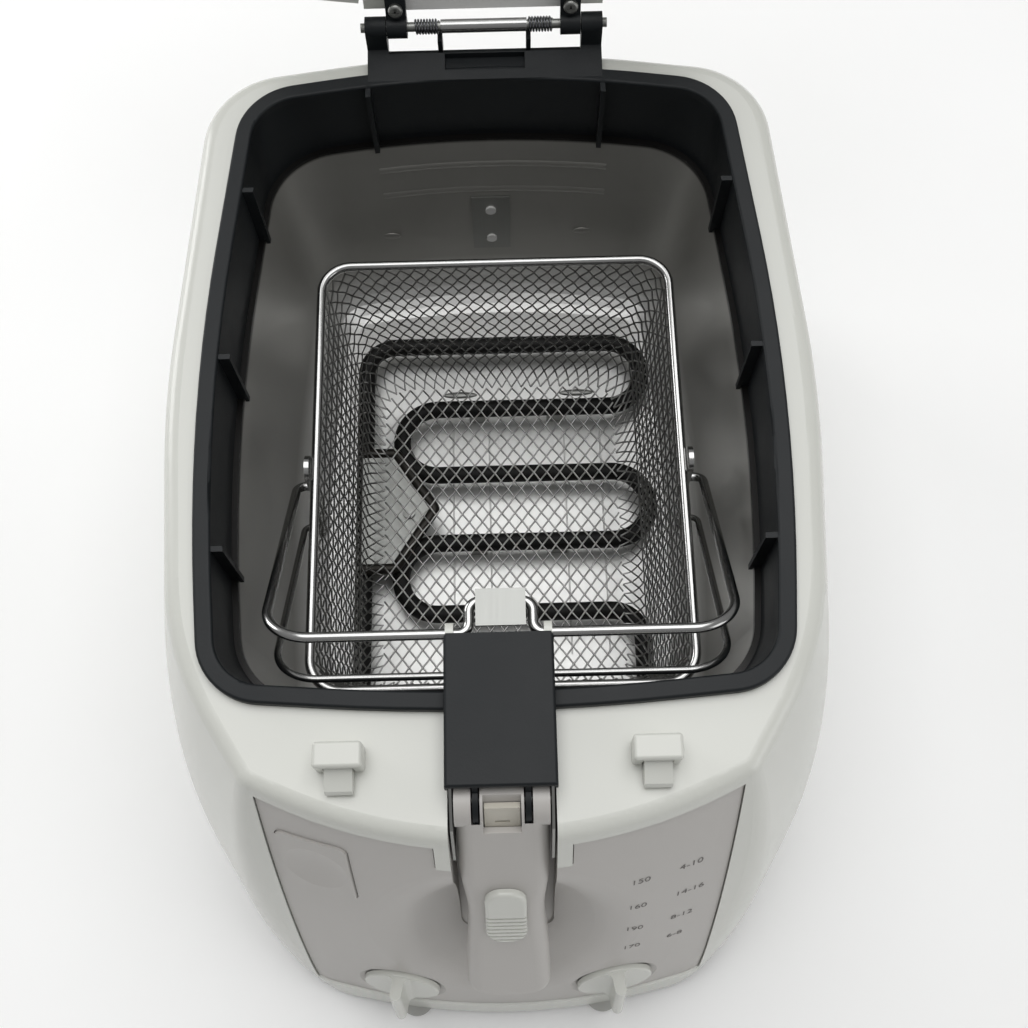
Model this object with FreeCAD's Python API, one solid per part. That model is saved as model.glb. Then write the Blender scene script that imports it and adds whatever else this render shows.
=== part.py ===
import FreeCAD, Part
import math
import os

os.makedirs("parts", exist_ok=True)

V = FreeCAD.Vector

# A home deep fryer with its lid open and its basket down. Millimetres, +Z up, front towards -Y.

# Heights above the table
foot_height = 7.0
base_thickness = 2.5
deck_z = 197.0
waist_z = 112.0
body_wall = 2.5
deck_edge_radius = 7.0

# Body plan: half widths, back and front at the base, waist and deck
base_half_width = 142.5
waist_half_width = 145.3
deck_half_width = 129.0
base_back = 146.0
waist_back = 157.5
deck_back = 149.0
base_front = 251.0
waist_front = 223.0
deck_front = 191.0
base_nose_half_width = 91.0
waist_nose_half_width = 104.0
deck_nose_half_width = 92.5
deck_front_bow = 26.0
base_front_bow = 12.0
body_side_bow = 4.0
back_bow = 8.6
body_taper = 31.9
base_shoulder = 130.0
waist_shoulder = 102.0
deck_shoulder = 120.0
side_middle_y = -15.0

# Pot opening and its collar
ring_half_width = 116.2
ring_side_bow = 5.4
ring_side_y = -25.0
ring_back = 138.0
ring_front = 145.0
ring_front_bow = 4.6
ring_back_corner = 28.0
ring_front_corner = 26.0
flange_width = 7.0
flange_thickness = 4.0
flange_edge_radius = 1.2
collar_wall = 2.0
collar_depth = 34.0
rib_width = 2.2
rib_reach = 4.5
rib_nub_reach = 1.6
rib_nub = 3.0
side_rib_y = (78.0, 0.0, -81.0)
back_rib_x = 51.0

# Oil pot
pot_wall = 1.5
pot_back_corner = 42.0
pot_front_corner = 38.5
pot_bottom_z = 45.0
pot_draft_inset = 10.0
pot_floor_radius = 18.0
pot_lip = 5.0
standoff_radius = 6.0
standoff_x = 60.0
standoff_y = 80.0

# Heating element
heater_radius = 4.3
heater_z = 60.0
heater_back_y = 75.0
heater_pitch = 36.2
heater_right = 75.0
heater_left = -48.0
heater_left_leg = -66.5
heater_right_leg = 68.5
heater_corner = 15.0
bushing_radius = 8.0
bushing_length = 18.0
terminal_reach = 12.0

# Sensor guard
guard_z = 66.2
guard_thickness = 1.4
guard_back_y = 11.0
guard_front_y = -47.0
guard_tip_x = -33.0
guard_shoulder_x = -50.5
guard_post_x = -43.8
guard_post_y = -20.0
guard_post_radius = 4.0

# Riveted plate on the pot's back wall
level_plate_width = 19.0
level_plate_height = 40.0
level_plate_z = 102.0
level_plate_thickness = 1.0
plate_gap = 0.3
rivet_radius = 2.6
rivet_height = 1.2
rivet_pitch = 22.0

# Basket
basket_x = 2.0
basket_half_width = 77.0
basket_back = 64.0
basket_front = 128.0
basket_rim_z = 160.0
basket_floor_z = 73.0
basket_taper = 9.0
basket_corner = 13.0
mesh_thickness = 1.6
mesh_columns = 9
mesh_rows = 12
mesh_layers = 6
mesh_bar = 3.2
mesh_border = 5.0
rim_wire_radius = 2.0
hanger_thickness = 2.0
hanger_half_width = 5.5
hanger_gap = 0.3

# Arms that carry the basket
arm_radius = 2.0
arm_axis_y = -117.5
arm_axis_z = 204.0
lower_arm_radius = 1.5
lower_axis_y = -127.5
lower_axis_z = 180.0
pivot_y = -33.0
pivot_z = 140.0
arm_leg_x = 88.0
arm_bend = 18.0
arm_end_bend = 4.5
crank_half_width = 11.8
crank_reach = 12.0
crank_bend = 4.0
pivot_clearance = 0.08
tab_half_width = 9.2
tab_length = 12.0
tab_thickness = 1.5

# Handle block and its steel carrier frame
handle_x = 1.0
block_half_width = 20.0
block_back = -117.3
block_front = -173.5
block_top_z = 208.0
block_wall = 2.2
cover_side = 1.2
block_edge_radius = 1.2
frame_thickness = 1.0
frame_gap = 0.2
bush_radius = 4.0
bush_length = 3.0
ear_radius = 9.0
ear_x = 9.4
ear_thickness = 2.0
ear_clearance = 0.6

# Folding handle
handle_pivot_y = -176.0
handle_pivot_z = 194.0
handle_lean = 27.3
handle_length = 130.0
handle_half_width = 17.0
handle_waist_half = 14.8
handle_end_half = 17.6
handle_end_corner = 11.0
handle_front = 9.5
handle_back = 8.0
handle_edge = 6.0
handle_pin_radius = 2.0
slider_start = 43.5
slider_length = 35.0
slider_half_width = 8.0
slider_corner = 7.0
slider_stem_half = 4.5
slider_stem_length = 12.0
slider_travel = 7.0
slider_proud = 3.0
slider_clearance = 0.4
bolt_half_width = 6.4
bolt_thickness = 2.4
bolt_end = 4.0
bolt_window = 7.0
bolt_notch = 2.6
handle_screw_radius = 3.0

# Slot in the body that takes the block and the folded handle
slot_half_width = 19.4
tab_width = 5.5
tab_drop = 15.0
panel_recess = 1.0
slot_back = -152.5
slot_step_z = 172.0
slot_step_y = -171.0
slot_end_z = 86.0
slot_corner = 9.0
cradle_wall = 2.0
scoop_radius = 80.0
scoop_sweep = 130.0
scoop_depth = 18.5
scoop_edge_radius = 28.0
scoop_z = 112.0

# Front panel insert
panel_half_width = 89.0
panel_top_z = 190.5
panel_bottom_z = 21.0
seam = 0.4

# Knobs and what they turn
knob_from_edge = 41.0
knob_z = 44.0
knob_radius = 17.0
knob_base = 2.6
knob_blade = 5.0
knob_reach = 16.5
knob_lift = -2.2
knob_flare = 3.0
dish_radius = 23.0
dish_depth = 6.0
shaft_radius = 3.0
shaft_clearance = 0.08
shaft_length = 18.0
control_half = 14.0
control_depth = 26.0
bezel_radius = 6.5

# Lid release button, its link and the two latches
button_from_edge = 18.0
button_z = 156.0
button_half_width = 14.5
button_half_height = 21.0
button_corner = 4.0
button_depth = 5.0
button_proud = 0.0
button_travel = 4.0
button_stem_radius = 4.0
thumb_radius = 70.0
thumb_depth = 1.6
latch_x = 56.5
latch_half_width = 8.8
latch_back = -156.3
latch_front = -165.6
latch_height = 12.0
tongue_half_width = 5.0
tongue_front = -174.0
tongue_top = 7.5
tongue_root = 3.4
stalk_depth = 2.6
tongue_gap = 0.3
latch_travel = 3.6
link_back = -145.0
link_front = -148.0
link_bottom_z = 180.0
link_top_z = 186.0
link_pad_y = -158.0

# Lid hinge
hinge_y = 150.2
hinge_z = 212.0
pin_radius = 2.0
pin_clearance = 0.06
pin_half_length = 53.0
knuckle_radius = 4.6
knuckle_outer = 51.0
knuckle_inner = 42.0
lid_knuckle_inner = 33.0
knuckle_gap = 0.4
spring_outer = 30.0
spring_inner = 19.0
spring_radius = 3.4
sleeve_radius = 2.9
bracket_rise = 5.0
bracket_recess_half_width = 17.4
bracket_recess_front = 4.4
bracket_recess_back = 2.4
bracket_recess_depth = 0.9
upright_x = 19.2
upright_width = 2.0

# Lid, given as closed and then swung open
lid_open = 105.0
lid_half_width = 114.4
lid_back = 135.0
lid_front = 188.0
lid_front_half_width = 94.0
lid_shoulder = 70.0
lid_side_bow = 5.4
lid_taper = 24.0
lid_skirt_z = 202.5
lid_shoulder_z = 222.0
lid_top_z = 240.0
lid_top_inset = 11.0
lid_wall = 2.2
lid_top_radius = 9.0
lid_notch_half_width = 25.0
neck_half_width = 51.5
neck_thickness = 3.0
liner_z = 216.0
liner_thickness = 1.2
liner_rim_z = 203.0
liner_neck_half_width = 41.0
gasket_width = 2.6
gasket_room = 1.0
liner_gap = 1.6
gasket_height = 5.5
gasket_z = 201.6
post_radius = 4.0
post_x = 72.0
post_y = 70.0
catch_lip_z = 198.5
catch_lip = 1.6
catch_gap = 0.5
filter_half_width = 60.0
filter_back = 72.0
filter_front = -2.0
filter_thickness = 8.0
vent_slots = 7
vent_slot_width = 4.0
lid_screw_radius = 3.1
lid_screw_reach = 9.0

# Base and electrics
foot_radius = 8.0
front_foot_x = 44.0
front_foot_y = -244.0
back_foot_x = 95.0
back_foot_y = 105.0
base_gap = 1.4
base_screw_radius = 3.5
gland_x = 40.0
gland_z = 34.0
gland_radius = 7.0
cutout_radius = 8.0
terminal_width = 34.0


def inset_points(points, distance):
    """Move every side of a closed outline inwards by a distance."""
    count = len(points)
    moved = []
    for i in range(count):
        before, here, after = points[i - 1], points[i], points[(i + 1) % count]
        ax, ay = here[0] - before[0], here[1] - before[1]
        bx, by = after[0] - here[0], after[1] - here[1]
        al, bl = math.hypot(ax, ay), math.hypot(bx, by)
        ax, ay, bx, by = ax / al, ay / al, bx / bl, by / bl
        cross = ax * by - ay * bx
        px, py = here[0] - ay * distance, here[1] + ax * distance
        qx, qy = here[0] - by * distance, here[1] + bx * distance
        along = ((qx - px) * by - (qy - py) * bx) / cross
        moved.append((px + ax * along, py + ay * along))
    return moved


def rounded_wire(points, radii, z):
    """Closed outline at height z with an arc of the given radius at every point."""
    count = len(points)
    arcs = []
    for i in range(count):
        here = V(points[i][0], points[i][1], z)
        to_before = (V(points[i - 1][0], points[i - 1][1], z) - here).normalize()
        after = points[(i + 1) % count]
        to_after = (V(after[0], after[1], z) - here).normalize()
        half = to_before.getAngle(to_after) / 2
        reach = radii[i] / math.tan(half)
        middle = here + (to_before + to_after).normalize() * (radii[i] / math.sin(half) - radii[i])
        arcs.append((here + to_before * reach, middle, here + to_after * reach))
    edges = []
    for i in range(count):
        start = arcs[i - 1][2]
        if start.distanceToPoint(arcs[i][0]) > 0.001:
            edges.append(Part.LineSegment(start, arcs[i][0]).toShape())
        edges.append(Part.Arc(*arcs[i]).toShape())
    return Part.Wire(edges)


class Outline:
    """A closed plan outline: corner points, counter-clockwise, and the radius at each."""

    def __init__(self, points, radii):
        self.points = points
        self.radii = radii

    def wire(self, z, inset=0.0):
        points = inset_points(self.points, inset) if inset else self.points
        return rounded_wire(points, [r - inset for r in self.radii], z)

    def prism(self, z0, z1, inset=0.0):
        return Part.Face(self.wire(z0, inset)).extrude(V(0, 0, z1 - z0))


def bow_vertex(middle, radius, angle):
    """Where the end tangents of a bowed side meet, for a side whose middle is given."""
    return middle + radius * (1 / math.cos(math.radians(angle)) - 1)


def meet(p, p_angle, q, q_angle):
    """Meeting point of two lines given by a point and a direction in degrees."""
    ux, uy = math.cos(math.radians(p_angle)), math.sin(math.radians(p_angle))
    wx, wy = math.cos(math.radians(q_angle)), math.sin(math.radians(q_angle))
    along = ((q[0] - p[0]) * wy - (q[1] - p[1]) * wx) / (ux * wy - uy * wx)
    return (p[0] + ux * along, p[1] + uy * along)


def mirrored(right):
    """Full outline from its right half, listed from the front middle to the back middle."""
    left = [(-x, y) for x, y in reversed(right[1:-1])]
    return right + left


def ring_outline(back_corner, front_corner):
    """Bowed rounded rectangle with the size of the collar's flange."""
    side_radius, back_radius, front_radius = 800.0, 470.0, 800.0
    front = (0.0, -bow_vertex(ring_front, front_radius, ring_front_bow))
    side = (bow_vertex(ring_half_width, side_radius, ring_side_bow), ring_side_y)
    back = (0.0, bow_vertex(ring_back, back_radius, back_bow))
    front_point = meet(front, ring_front_bow, side, 90 - ring_side_bow)
    back_point = meet(back, -back_bow, side, 90 + ring_side_bow)
    half_radii = [front_radius, front_corner, side_radius, back_corner, back_radius]
    points = mirrored([front, front_point, side, back_point, back])
    return Outline(points, half_radii + half_radii[3:0:-1])


def nosed_outline(half_width, back, front, front_width, bow, bow_radius, corner, back_corner, shoulder,
                  side_bow, taper):
    """Outline with bowed sides whose front narrows to a bowed nose."""
    side_radius, back_radius = 420.0, 470.0
    nose = (0.0, -bow_vertex(front, bow_radius, bow))
    side = (bow_vertex(half_width, side_radius, side_bow), side_middle_y)
    tail = (0.0, bow_vertex(back, back_radius, back_bow))
    nose_point = (front_width, nose[1] + front_width * math.tan(math.radians(bow)))
    shoulder_point = meet(nose_point, 90 - taper, side, 90 - side_bow)
    back_point = meet(tail, -back_bow, side, 90 + side_bow)
    half_radii = [bow_radius, corner, shoulder, side_radius, back_corner, back_radius]
    points = mirrored([nose, nose_point, shoulder_point, side, back_point, tail])
    return Outline(points, half_radii + half_radii[4:0:-1])


def box(x0, x1, y0, y1, z0, z1):
    return Part.makeBox(x1 - x0, y1 - y0, z1 - z0, V(x0, y0, z0))


def cylinder_x(x0, x1, y, z, radius):
    return Part.makeCylinder(radius, x1 - x0, V(x0, y, z), V(1, 0, 0))


def side_profile(points, x0, x1):
    """Solid with a side view given as (y, z) points, from x0 to x1."""
    corners = [V(x0, y, z) for y, z in points]
    return Part.Face(Part.makePolygon(corners + corners[:1])).extrude(V(x1 - x0, 0, 0))


def bent_path(points, bends):
    """Straight runs joined by tangent arcs, with one bend radius for each inner point."""
    edges = []
    start = points[0]
    for i in range(1, len(points) - 1):
        here = points[i]
        to_before = (points[i - 1] - here).normalize()
        to_after = (points[i + 1] - here).normalize()
        half = to_before.getAngle(to_after) / 2
        reach = bends[i - 1] / math.tan(half)
        mid = here + (to_before + to_after).normalize() * (bends[i - 1] / math.sin(half) - bends[i - 1])
        edges.append(Part.LineSegment(start, here + to_before * reach).toShape())
        edges.append(Part.Arc(here + to_before * reach, mid, here + to_after * reach).toShape())
        start = here + to_after * reach
    edges.append(Part.LineSegment(start, points[-1]).toShape())
    return Part.Wire(edges)


def rod(points, bends, radius):
    """Round bar along a bent path."""
    path = bent_path(points, bends)
    section = Part.Wire(Part.makeCircle(radius, points[0], points[1] - points[0]))
    return path.makePipeShell([section], True, True)


def rounded_box(x0, x1, y0, y1, z0, z1, radius):
    solid = box(x0, x1, y0, y1, z0, z1)
    return solid.makeFillet(radius, solid.Edges)


pieces = {}

# Outer body: one bulged solid that the housing, the panel and the base are cut from
base_plan = nosed_outline(
    base_half_width, base_back, base_front, base_nose_half_width, base_front_bow, 300.0, 40.0, 46.8,
    base_shoulder, body_side_bow, body_taper)
waist_plan = nosed_outline(
    waist_half_width, waist_back, waist_front, waist_nose_half_width, (deck_front_bow + base_front_bow) / 2,
    240.0, 24.0, 45.2, waist_shoulder, body_side_bow, body_taper)
deck_plan = nosed_outline(
    deck_half_width, deck_back, deck_front, deck_nose_half_width, deck_front_bow, 190.0, 9.0, 35.3,
    deck_shoulder, body_side_bow, body_taper)
ring = ring_outline(ring_back_corner, ring_front_corner)
pot_plan = ring_outline(pot_back_corner, pot_front_corner)


def body_solid(inset, bottom, top):
    return Part.makeLoft(
        [base_plan.wire(bottom, inset), waist_plan.wire(waist_z, inset), deck_plan.wire(top, inset)],
        True, False)


body_block = body_solid(0.0, foot_height, deck_z)
top_edges = [e for e in body_block.Edges if e.BoundBox.ZMin > deck_z - 0.01]
body_block = body_block.makeFillet(deck_edge_radius, top_edges)
body_hollow = body_solid(body_wall, foot_height, deck_z - body_wall)

# Scoop behind the folded handle: a barrel-shaped cut, deepest in the middle of the panel
lean = math.radians(handle_lean)
panel_lean = math.atan((base_front - deck_front) / (deck_z - foot_height))
along = V(0, -math.sin(panel_lean), -math.cos(panel_lean))
outward = V(0, -math.cos(panel_lean), math.sin(panel_lean))


def front_surface(x, z):
    """Point of the body's front face at the given width and height."""
    sight = Part.makeLine(V(x, -2 * base_front, z), V(x, 0, z))
    return V(x, body_block.common(sight).BoundBox.YMin, z)


def front_frame(x, z):
    """Placement on the front face: local Z outwards, local Y up along the face."""
    step = 4.0
    across = front_surface(x + step, z) - front_surface(x - step, z)
    up = front_surface(x, z + step) - front_surface(x, z - step)
    normal = across.cross(up).normalize()
    return FreeCAD.Placement(front_surface(x, z), FreeCAD.Rotation(across, up, normal, "ZYX"))


scoop_top = front_surface(0.0, scoop_z)


def scoop(extra):
    deepest = scoop_top - outward * (scoop_depth + extra)
    spindle = deepest + outward * scoop_radius
    half = scoop_radius * 0.9
    end_radius = scoop_radius + extra - (scoop_sweep - math.sqrt(scoop_sweep ** 2 - half ** 2))
    start, end = spindle - along * half, spindle + along * half
    arc = Part.Arc(start - outward * end_radius, deepest, end - outward * end_radius).toShape()
    rim = [Part.makeLine(start, start - outward * end_radius), arc,
           Part.makeLine(end - outward * end_radius, end), Part.makeLine(end, start)]
    solid = Part.Face(Part.Wire(rim)).revolve(spindle, along, 360)
    solid.rotate(spindle, along, 180)
    return solid


knob_x = panel_half_width - knob_from_edge
button_x = button_from_edge - panel_half_width
knob_frames = {"timer": front_frame(-knob_x, knob_z), "thermostat": front_frame(knob_x, knob_z)}
button_place = front_frame(button_x, button_z)
dish_sphere = (dish_radius ** 2 + dish_depth ** 2) / (2 * dish_depth)


def dishes(extra):
    return [Part.makeSphere(dish_sphere + extra, place.multVec(V(0, 0, dish_sphere - dish_depth)))
            for place in knob_frames.values()]


def scooped(solid, extra):
    """Body with the scoop cut into its front and the scoop's rim rounded."""
    solid = solid.cut(scoop(extra))
    rim = [e for e in solid.Edges
           if e.BoundBox.ZMin > foot_height + 5 and e.BoundBox.ZMax < deck_z - deck_edge_radius
           and e.BoundBox.YMax < -ring_front and e.BoundBox.XLength > scoop_depth]
    return solid.makeFillet(scoop_edge_radius, rim)


body_block = scooped(body_block, 0.0).cut(dishes(0.0))
body_hollow = scooped(body_hollow, body_wall).cut(dishes(body_wall))
body_shell = body_block.cut(body_hollow)

# Slot for the handle block and the folded handle
slot_end_y = slot_step_y - (slot_step_z - slot_end_z) * math.tan(lean)
slot_side = [
    (slot_back, deck_z + 20), (slot_back, slot_step_z), (slot_step_y, slot_step_z),
    (slot_end_y, slot_end_z), (-2 * base_front, slot_end_z), (-2 * base_front, deck_z + 20)]


def slot_front(grow):
    """Front view of the slot: straight sides, round lower corners."""
    x, top, bottom = slot_half_width + grow, deck_z + 20, slot_end_z - grow
    points = [(x, bottom), (x, top), (-x, top), (-x, bottom)]
    solid = Outline(points, [slot_corner + grow, 1.0, 1.0, slot_corner + grow]).prism(0, 2 * base_front)
    solid.rotate(V(0, 0, 0), V(1, 0, 0), 90)
    solid.translate(V(handle_x, 0, 0))
    return solid


slot = side_profile(slot_side, handle_x - slot_half_width, handle_x + slot_half_width).common(slot_front(0.0))
cradle_side = [
    (slot_back + cradle_wall, deck_z + 20), (slot_back + cradle_wall, slot_step_z - cradle_wall),
    (slot_step_y + cradle_wall, slot_step_z - cradle_wall),
    (slot_end_y + cradle_wall, slot_end_z - cradle_wall),
    (-2 * base_front, slot_end_z - cradle_wall), (-2 * base_front, deck_z + 20)]
cradle_reach = slot_half_width + cradle_wall
cradle_block = side_profile(cradle_side, handle_x - cradle_reach, handle_x + cradle_reach)
cradle = cradle_block.common(slot_front(cradle_wall)).cut(slot).common(body_hollow)
pieces["handle_cradle"] = max(cradle.Solids, key=lambda solid: solid.Volume)

# Housing and front panel
opening = ring.prism(deck_z - 2 * collar_depth, deck_z + 10, flange_width - collar_wall - 0.3)
panel_window = box(-panel_half_width, panel_half_width, -2 * base_front, slot_back - 2,
                   panel_bottom_z, panel_top_z)
panel_block = box(-panel_half_width + seam, panel_half_width - seam, -2 * base_front, slot_back - 2,
                  panel_bottom_z + seam, panel_top_z - seam)
tab_reach = slot_half_width + tab_width
tabs = box(handle_x - tab_reach, handle_x + tab_reach, -2 * base_front, slot_back,
           panel_top_z - tab_drop, deck_z)
tabs_gap = box(handle_x - tab_reach - seam, handle_x + tab_reach + seam, -2 * base_front, slot_back,
               panel_top_z - tab_drop - seam, deck_z)
housing = body_shell.cut(opening).cut(slot).cut(panel_window.cut(tabs))
panel_body = scooped(body_solid(panel_recess, foot_height, deck_z), 0.0).cut(dishes(0.0))
panel = panel_body.cut(body_hollow).common(panel_block).cut([slot, tabs_gap])

# Collar with its ribs and the hinge bracket
collar_bottom = deck_z - collar_depth
flange_top = deck_z + flange_thickness


def funnel(inset):
    """Solid inside the collar's wall, whose corners grow rounder towards the pot."""
    return Part.makeLoft([pot_plan.wire(collar_bottom, inset), ring.wire(deck_z, inset)], True, True)


collar = ring.prism(deck_z, flange_top).cut(ring.prism(deck_z, flange_top, flange_width))
rim_edges = [e for e in collar.Edges if e.BoundBox.ZMin > flange_top - 0.01]
collar = collar.makeFillet(flange_edge_radius, rim_edges)
collar = collar.fuse(funnel(flange_width - collar_wall).cut(funnel(flange_width)))
rib_zone = ring.prism(collar_bottom, flange_top - 1, flange_width - collar_wall / 2)
rib_zone = rib_zone.cut(ring.prism(collar_bottom, flange_top - 1, flange_width + rib_reach))
nub_zone = ring.prism(collar_bottom - rib_nub, collar_bottom, flange_width + rib_reach - rib_nub_reach)
nub_zone = nub_zone.cut(ring.prism(collar_bottom - rib_nub, collar_bottom, flange_width + rib_reach))
rib_zone = rib_zone.fuse(nub_zone)
wide = 2 * ring_half_width
ribs = [box(-wide, wide, y - rib_width / 2, y + rib_width / 2, 0, deck_z * 2) for y in side_rib_y]
ribs += [box(x - rib_width / 2, x + rib_width / 2, 0, wide, 0, deck_z * 2) for x in (-back_rib_x, back_rib_x)]
collar = collar.fuse([rib_zone.common(r) for r in ribs])
bracket_side = [
    (ring_back - flange_width, deck_z + 0.2), (hinge_y - 3, deck_z + 0.2),
    (hinge_y + knuckle_radius, hinge_z - knuckle_radius), (hinge_y + knuckle_radius, hinge_z),
    (hinge_y - knuckle_radius, hinge_z), (hinge_y - knuckle_radius, flange_top + bracket_rise / 2),
    (ring_back - flange_width, flange_top)]
window_side = [
    (hinge_y - knuckle_radius - 2, flange_top - 2), (hinge_y + 2 * knuckle_radius, flange_top - 2),
    (hinge_y + 2 * knuckle_radius, hinge_z + 2 * knuckle_radius),
    (hinge_y - knuckle_radius - 2, hinge_z + 2 * knuckle_radius)]
bracket = side_profile(bracket_side, -knuckle_outer, knuckle_outer)
bracket = bracket.cut(side_profile(window_side, -knuckle_inner, knuckle_inner))
bracket = bracket.cut(ring.prism(deck_z, hinge_z, flange_width))
for x in (-upright_x, upright_x):
    bracket = bracket.fuse(box(x - upright_width / 2, x + upright_width / 2,
                               hinge_y - knuckle_radius, hinge_y + 2,
                               flange_top - 3, hinge_z - spring_radius - knuckle_gap))
for x0, x1 in ((-knuckle_outer, -knuckle_inner), (knuckle_inner, knuckle_outer)):
    bracket = bracket.fuse(cylinder_x(x0, x1, hinge_y, hinge_z, knuckle_radius))
recess_back = hinge_y - knuckle_radius - bracket_recess_back
bracket = bracket.cut(box(-bracket_recess_half_width, bracket_recess_half_width,
                          ring_back - flange_width + bracket_recess_front, recess_back,
                          flange_top - bracket_recess_depth, flange_top + bracket_rise))
pin_bore = cylinder_x(-pin_half_length - 5, pin_half_length + 5, hinge_y, hinge_z, pin_radius)
pieces["rim_collar"] = collar.fuse(bracket).cut(pin_bore).removeSplitter()

# Hinge pin, its sleeve and the two torsion springs round it
pieces["hinge_pin"] = cylinder_x(-pin_half_length, pin_half_length, hinge_y, hinge_z, pin_radius)


def pin_ring(x0, x1, radius):
    return cylinder_x(x0, x1, hinge_y, hinge_z, radius).cut(pin_bore)


pieces["hinge_sleeve"] = pin_ring(-spring_inner + 0.5, spring_inner - 0.5, sleeve_radius)
pieces["hinge_spring_left"] = pin_ring(-spring_outer, -spring_inner, spring_radius)
pieces["hinge_spring_right"] = pin_ring(spring_inner, spring_outer, spring_radius)

# Oil pot hung under the collar, on four stand-offs
pot_rim_z = collar_bottom
pot_inset = flange_width + 1.0
pot_slope = pot_draft_inset / (pot_rim_z - pot_bottom_z)


def pot_solid(extra, bottom, top, radius):
    """Drafted pot with a rounded floor edge."""
    wires = []
    for turn in (90, 72, 54, 36, 18, 0):
        z = bottom + radius * (1 - math.sin(math.radians(turn)))
        rounding = radius * (1 - math.cos(math.radians(turn)))
        wires.append(pot_plan.wire(z, pot_inset + extra + pot_slope * (pot_rim_z - z) + rounding))
    wires.append(pot_plan.wire(top, pot_inset + extra + pot_slope * (pot_rim_z - top)))
    return Part.makeLoft(wires, True, True)


pot_outer = pot_solid(0.0, pot_bottom_z, pot_rim_z, pot_floor_radius)
pot_inner = pot_solid(pot_wall, pot_bottom_z + pot_wall, pot_rim_z + 10, pot_floor_radius - pot_wall)
lip = pot_plan.prism(pot_rim_z - pot_wall, pot_rim_z, pot_inset - pot_lip)
pot = pot_outer.fuse(lip).cut(pot_inner)
pieces["pot_standoffs"] = Part.makeCompound([
    Part.makeCylinder(standoff_radius, pot_bottom_z - foot_height - base_thickness,
                      V(x, y + side_middle_y, foot_height + base_thickness))
    for x in (-standoff_x, standoff_x) for y in (-standoff_y, standoff_y)])


def pot_back_wall(z):
    """Inner face of the pot's back wall in its middle plane."""
    share = (pot_rim_z - z) / (pot_rim_z - pot_bottom_z)
    return ring_back - pot_inset - pot_wall - pot_draft_inset * share


# Heating element: five runs across the pot floor, both legs out through the front wall
heater_turn = heater_pitch / 2
front_wall_y = -ring_front + pot_inset
leg_end_y = front_wall_y - terminal_reach
runs = [heater_back_y - i * heater_pitch for i in range(5)]
path = [V(heater_left_leg, leg_end_y, heater_z), V(heater_left_leg, runs[0], heater_z)]
turns = [heater_corner]
for i in range(4):
    x = heater_right if i % 2 == 0 else heater_left
    path += [V(x, runs[i], heater_z), V(x, runs[i + 1], heater_z)]
    turns += [heater_turn - 0.05] * 2
path += [V(heater_right_leg, runs[4], heater_z), V(heater_right_leg, leg_end_y, heater_z)]
turns += [heater_corner]
pieces["heater_element"] = rod(path, turns, heater_radius)
legs = (heater_left_leg, heater_right_leg)
bush_start = front_wall_y + pot_draft_inset + 14
leg_tool = [Part.makeCylinder(heater_radius, 4 * bushing_length, V(x, bush_start, heater_z), V(0, -1, 0))
            for x in legs]
bushings = [Part.makeCylinder(bushing_radius, bushing_length, V(x, bush_start - 3, heater_z), V(0, -1, 0))
            for x in legs]
pieces["oil_pot"] = pot.cut(bushings)
pieces["heater_bushings"] = Part.makeCompound(
    [b.cut(t) for b, t in zip(bushings, leg_tool)])
clip_z = pot_bottom_z + pot_wall
clips = []
for x, y in ((-10.0, runs[1]), (30.0, runs[1]), (-10.0, runs[3]), (30.0, runs[3])):
    saddle = box(x - 4, x + 4, y - 2, y + 2, clip_z, heater_z)
    clips.append(saddle.cut(cylinder_x(x - 5, x + 5, y, heater_z, heater_radius)))
pieces["heater_clips"] = Part.makeCompound(clips)

# Sensor guard: a pentagon plate on a post, over the element's left leg
guard_edge_x = heater_left_leg - 1.0
guard_plan = [V(guard_edge_x, guard_front_y, guard_z), V(guard_shoulder_x, guard_front_y, guard_z),
              V(guard_tip_x, (guard_front_y + guard_back_y) / 2, guard_z),
              V(guard_shoulder_x, guard_back_y, guard_z), V(guard_edge_x, guard_back_y, guard_z)]
guard = Part.Face(Part.makePolygon(guard_plan + guard_plan[:1])).extrude(V(0, 0, guard_thickness))
post = Part.makeCylinder(guard_post_radius, guard_z - clip_z, V(guard_post_x, guard_post_y, clip_z))
pieces["sensor_guard"] = guard.fuse(post)
pieces["sensor_guard_screw"] = Part.makeCylinder(
    3.0, 1.6, V(guard_post_x, guard_post_y, guard_z + guard_thickness))

# Riveted plate on the back wall
wall_lean = math.atan(pot_draft_inset / (pot_rim_z - pot_bottom_z))
plate = box(-level_plate_width / 2, level_plate_width / 2, -level_plate_thickness, 0,
            -level_plate_height / 2, level_plate_height / 2)
rivets = [Part.makeCylinder(rivet_radius, rivet_height, V(0, -level_plate_thickness, dz), V(0, -1, 0))
          for dz in (-rivet_pitch / 2, rivet_pitch / 2)]
on_wall = FreeCAD.Placement(V(0, pot_back_wall(level_plate_z) - plate_gap, level_plate_z),
                            FreeCAD.Rotation(V(1, 0, 0), -math.degrees(wall_lean)))
plate.Placement = on_wall
pieces["level_plate"] = plate
rivet_group = Part.makeCompound(rivets)
rivet_group.Placement = on_wall
pieces["level_plate_rivets"] = rivet_group

# Basket: tapered shell, rim wire and a hanger on each side
basket_middle = (basket_back - basket_front) / 2


def basket_outline(inset):
    half_length = (basket_back + basket_front) / 2
    x, y = basket_half_width - inset, half_length - inset
    corners = [(x, -y), (x, y), (-x, y), (-x, -y)]
    points = [(basket_x + px, basket_middle + py) for px, py in corners]
    return Outline(points, [basket_corner] * 4)


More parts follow.
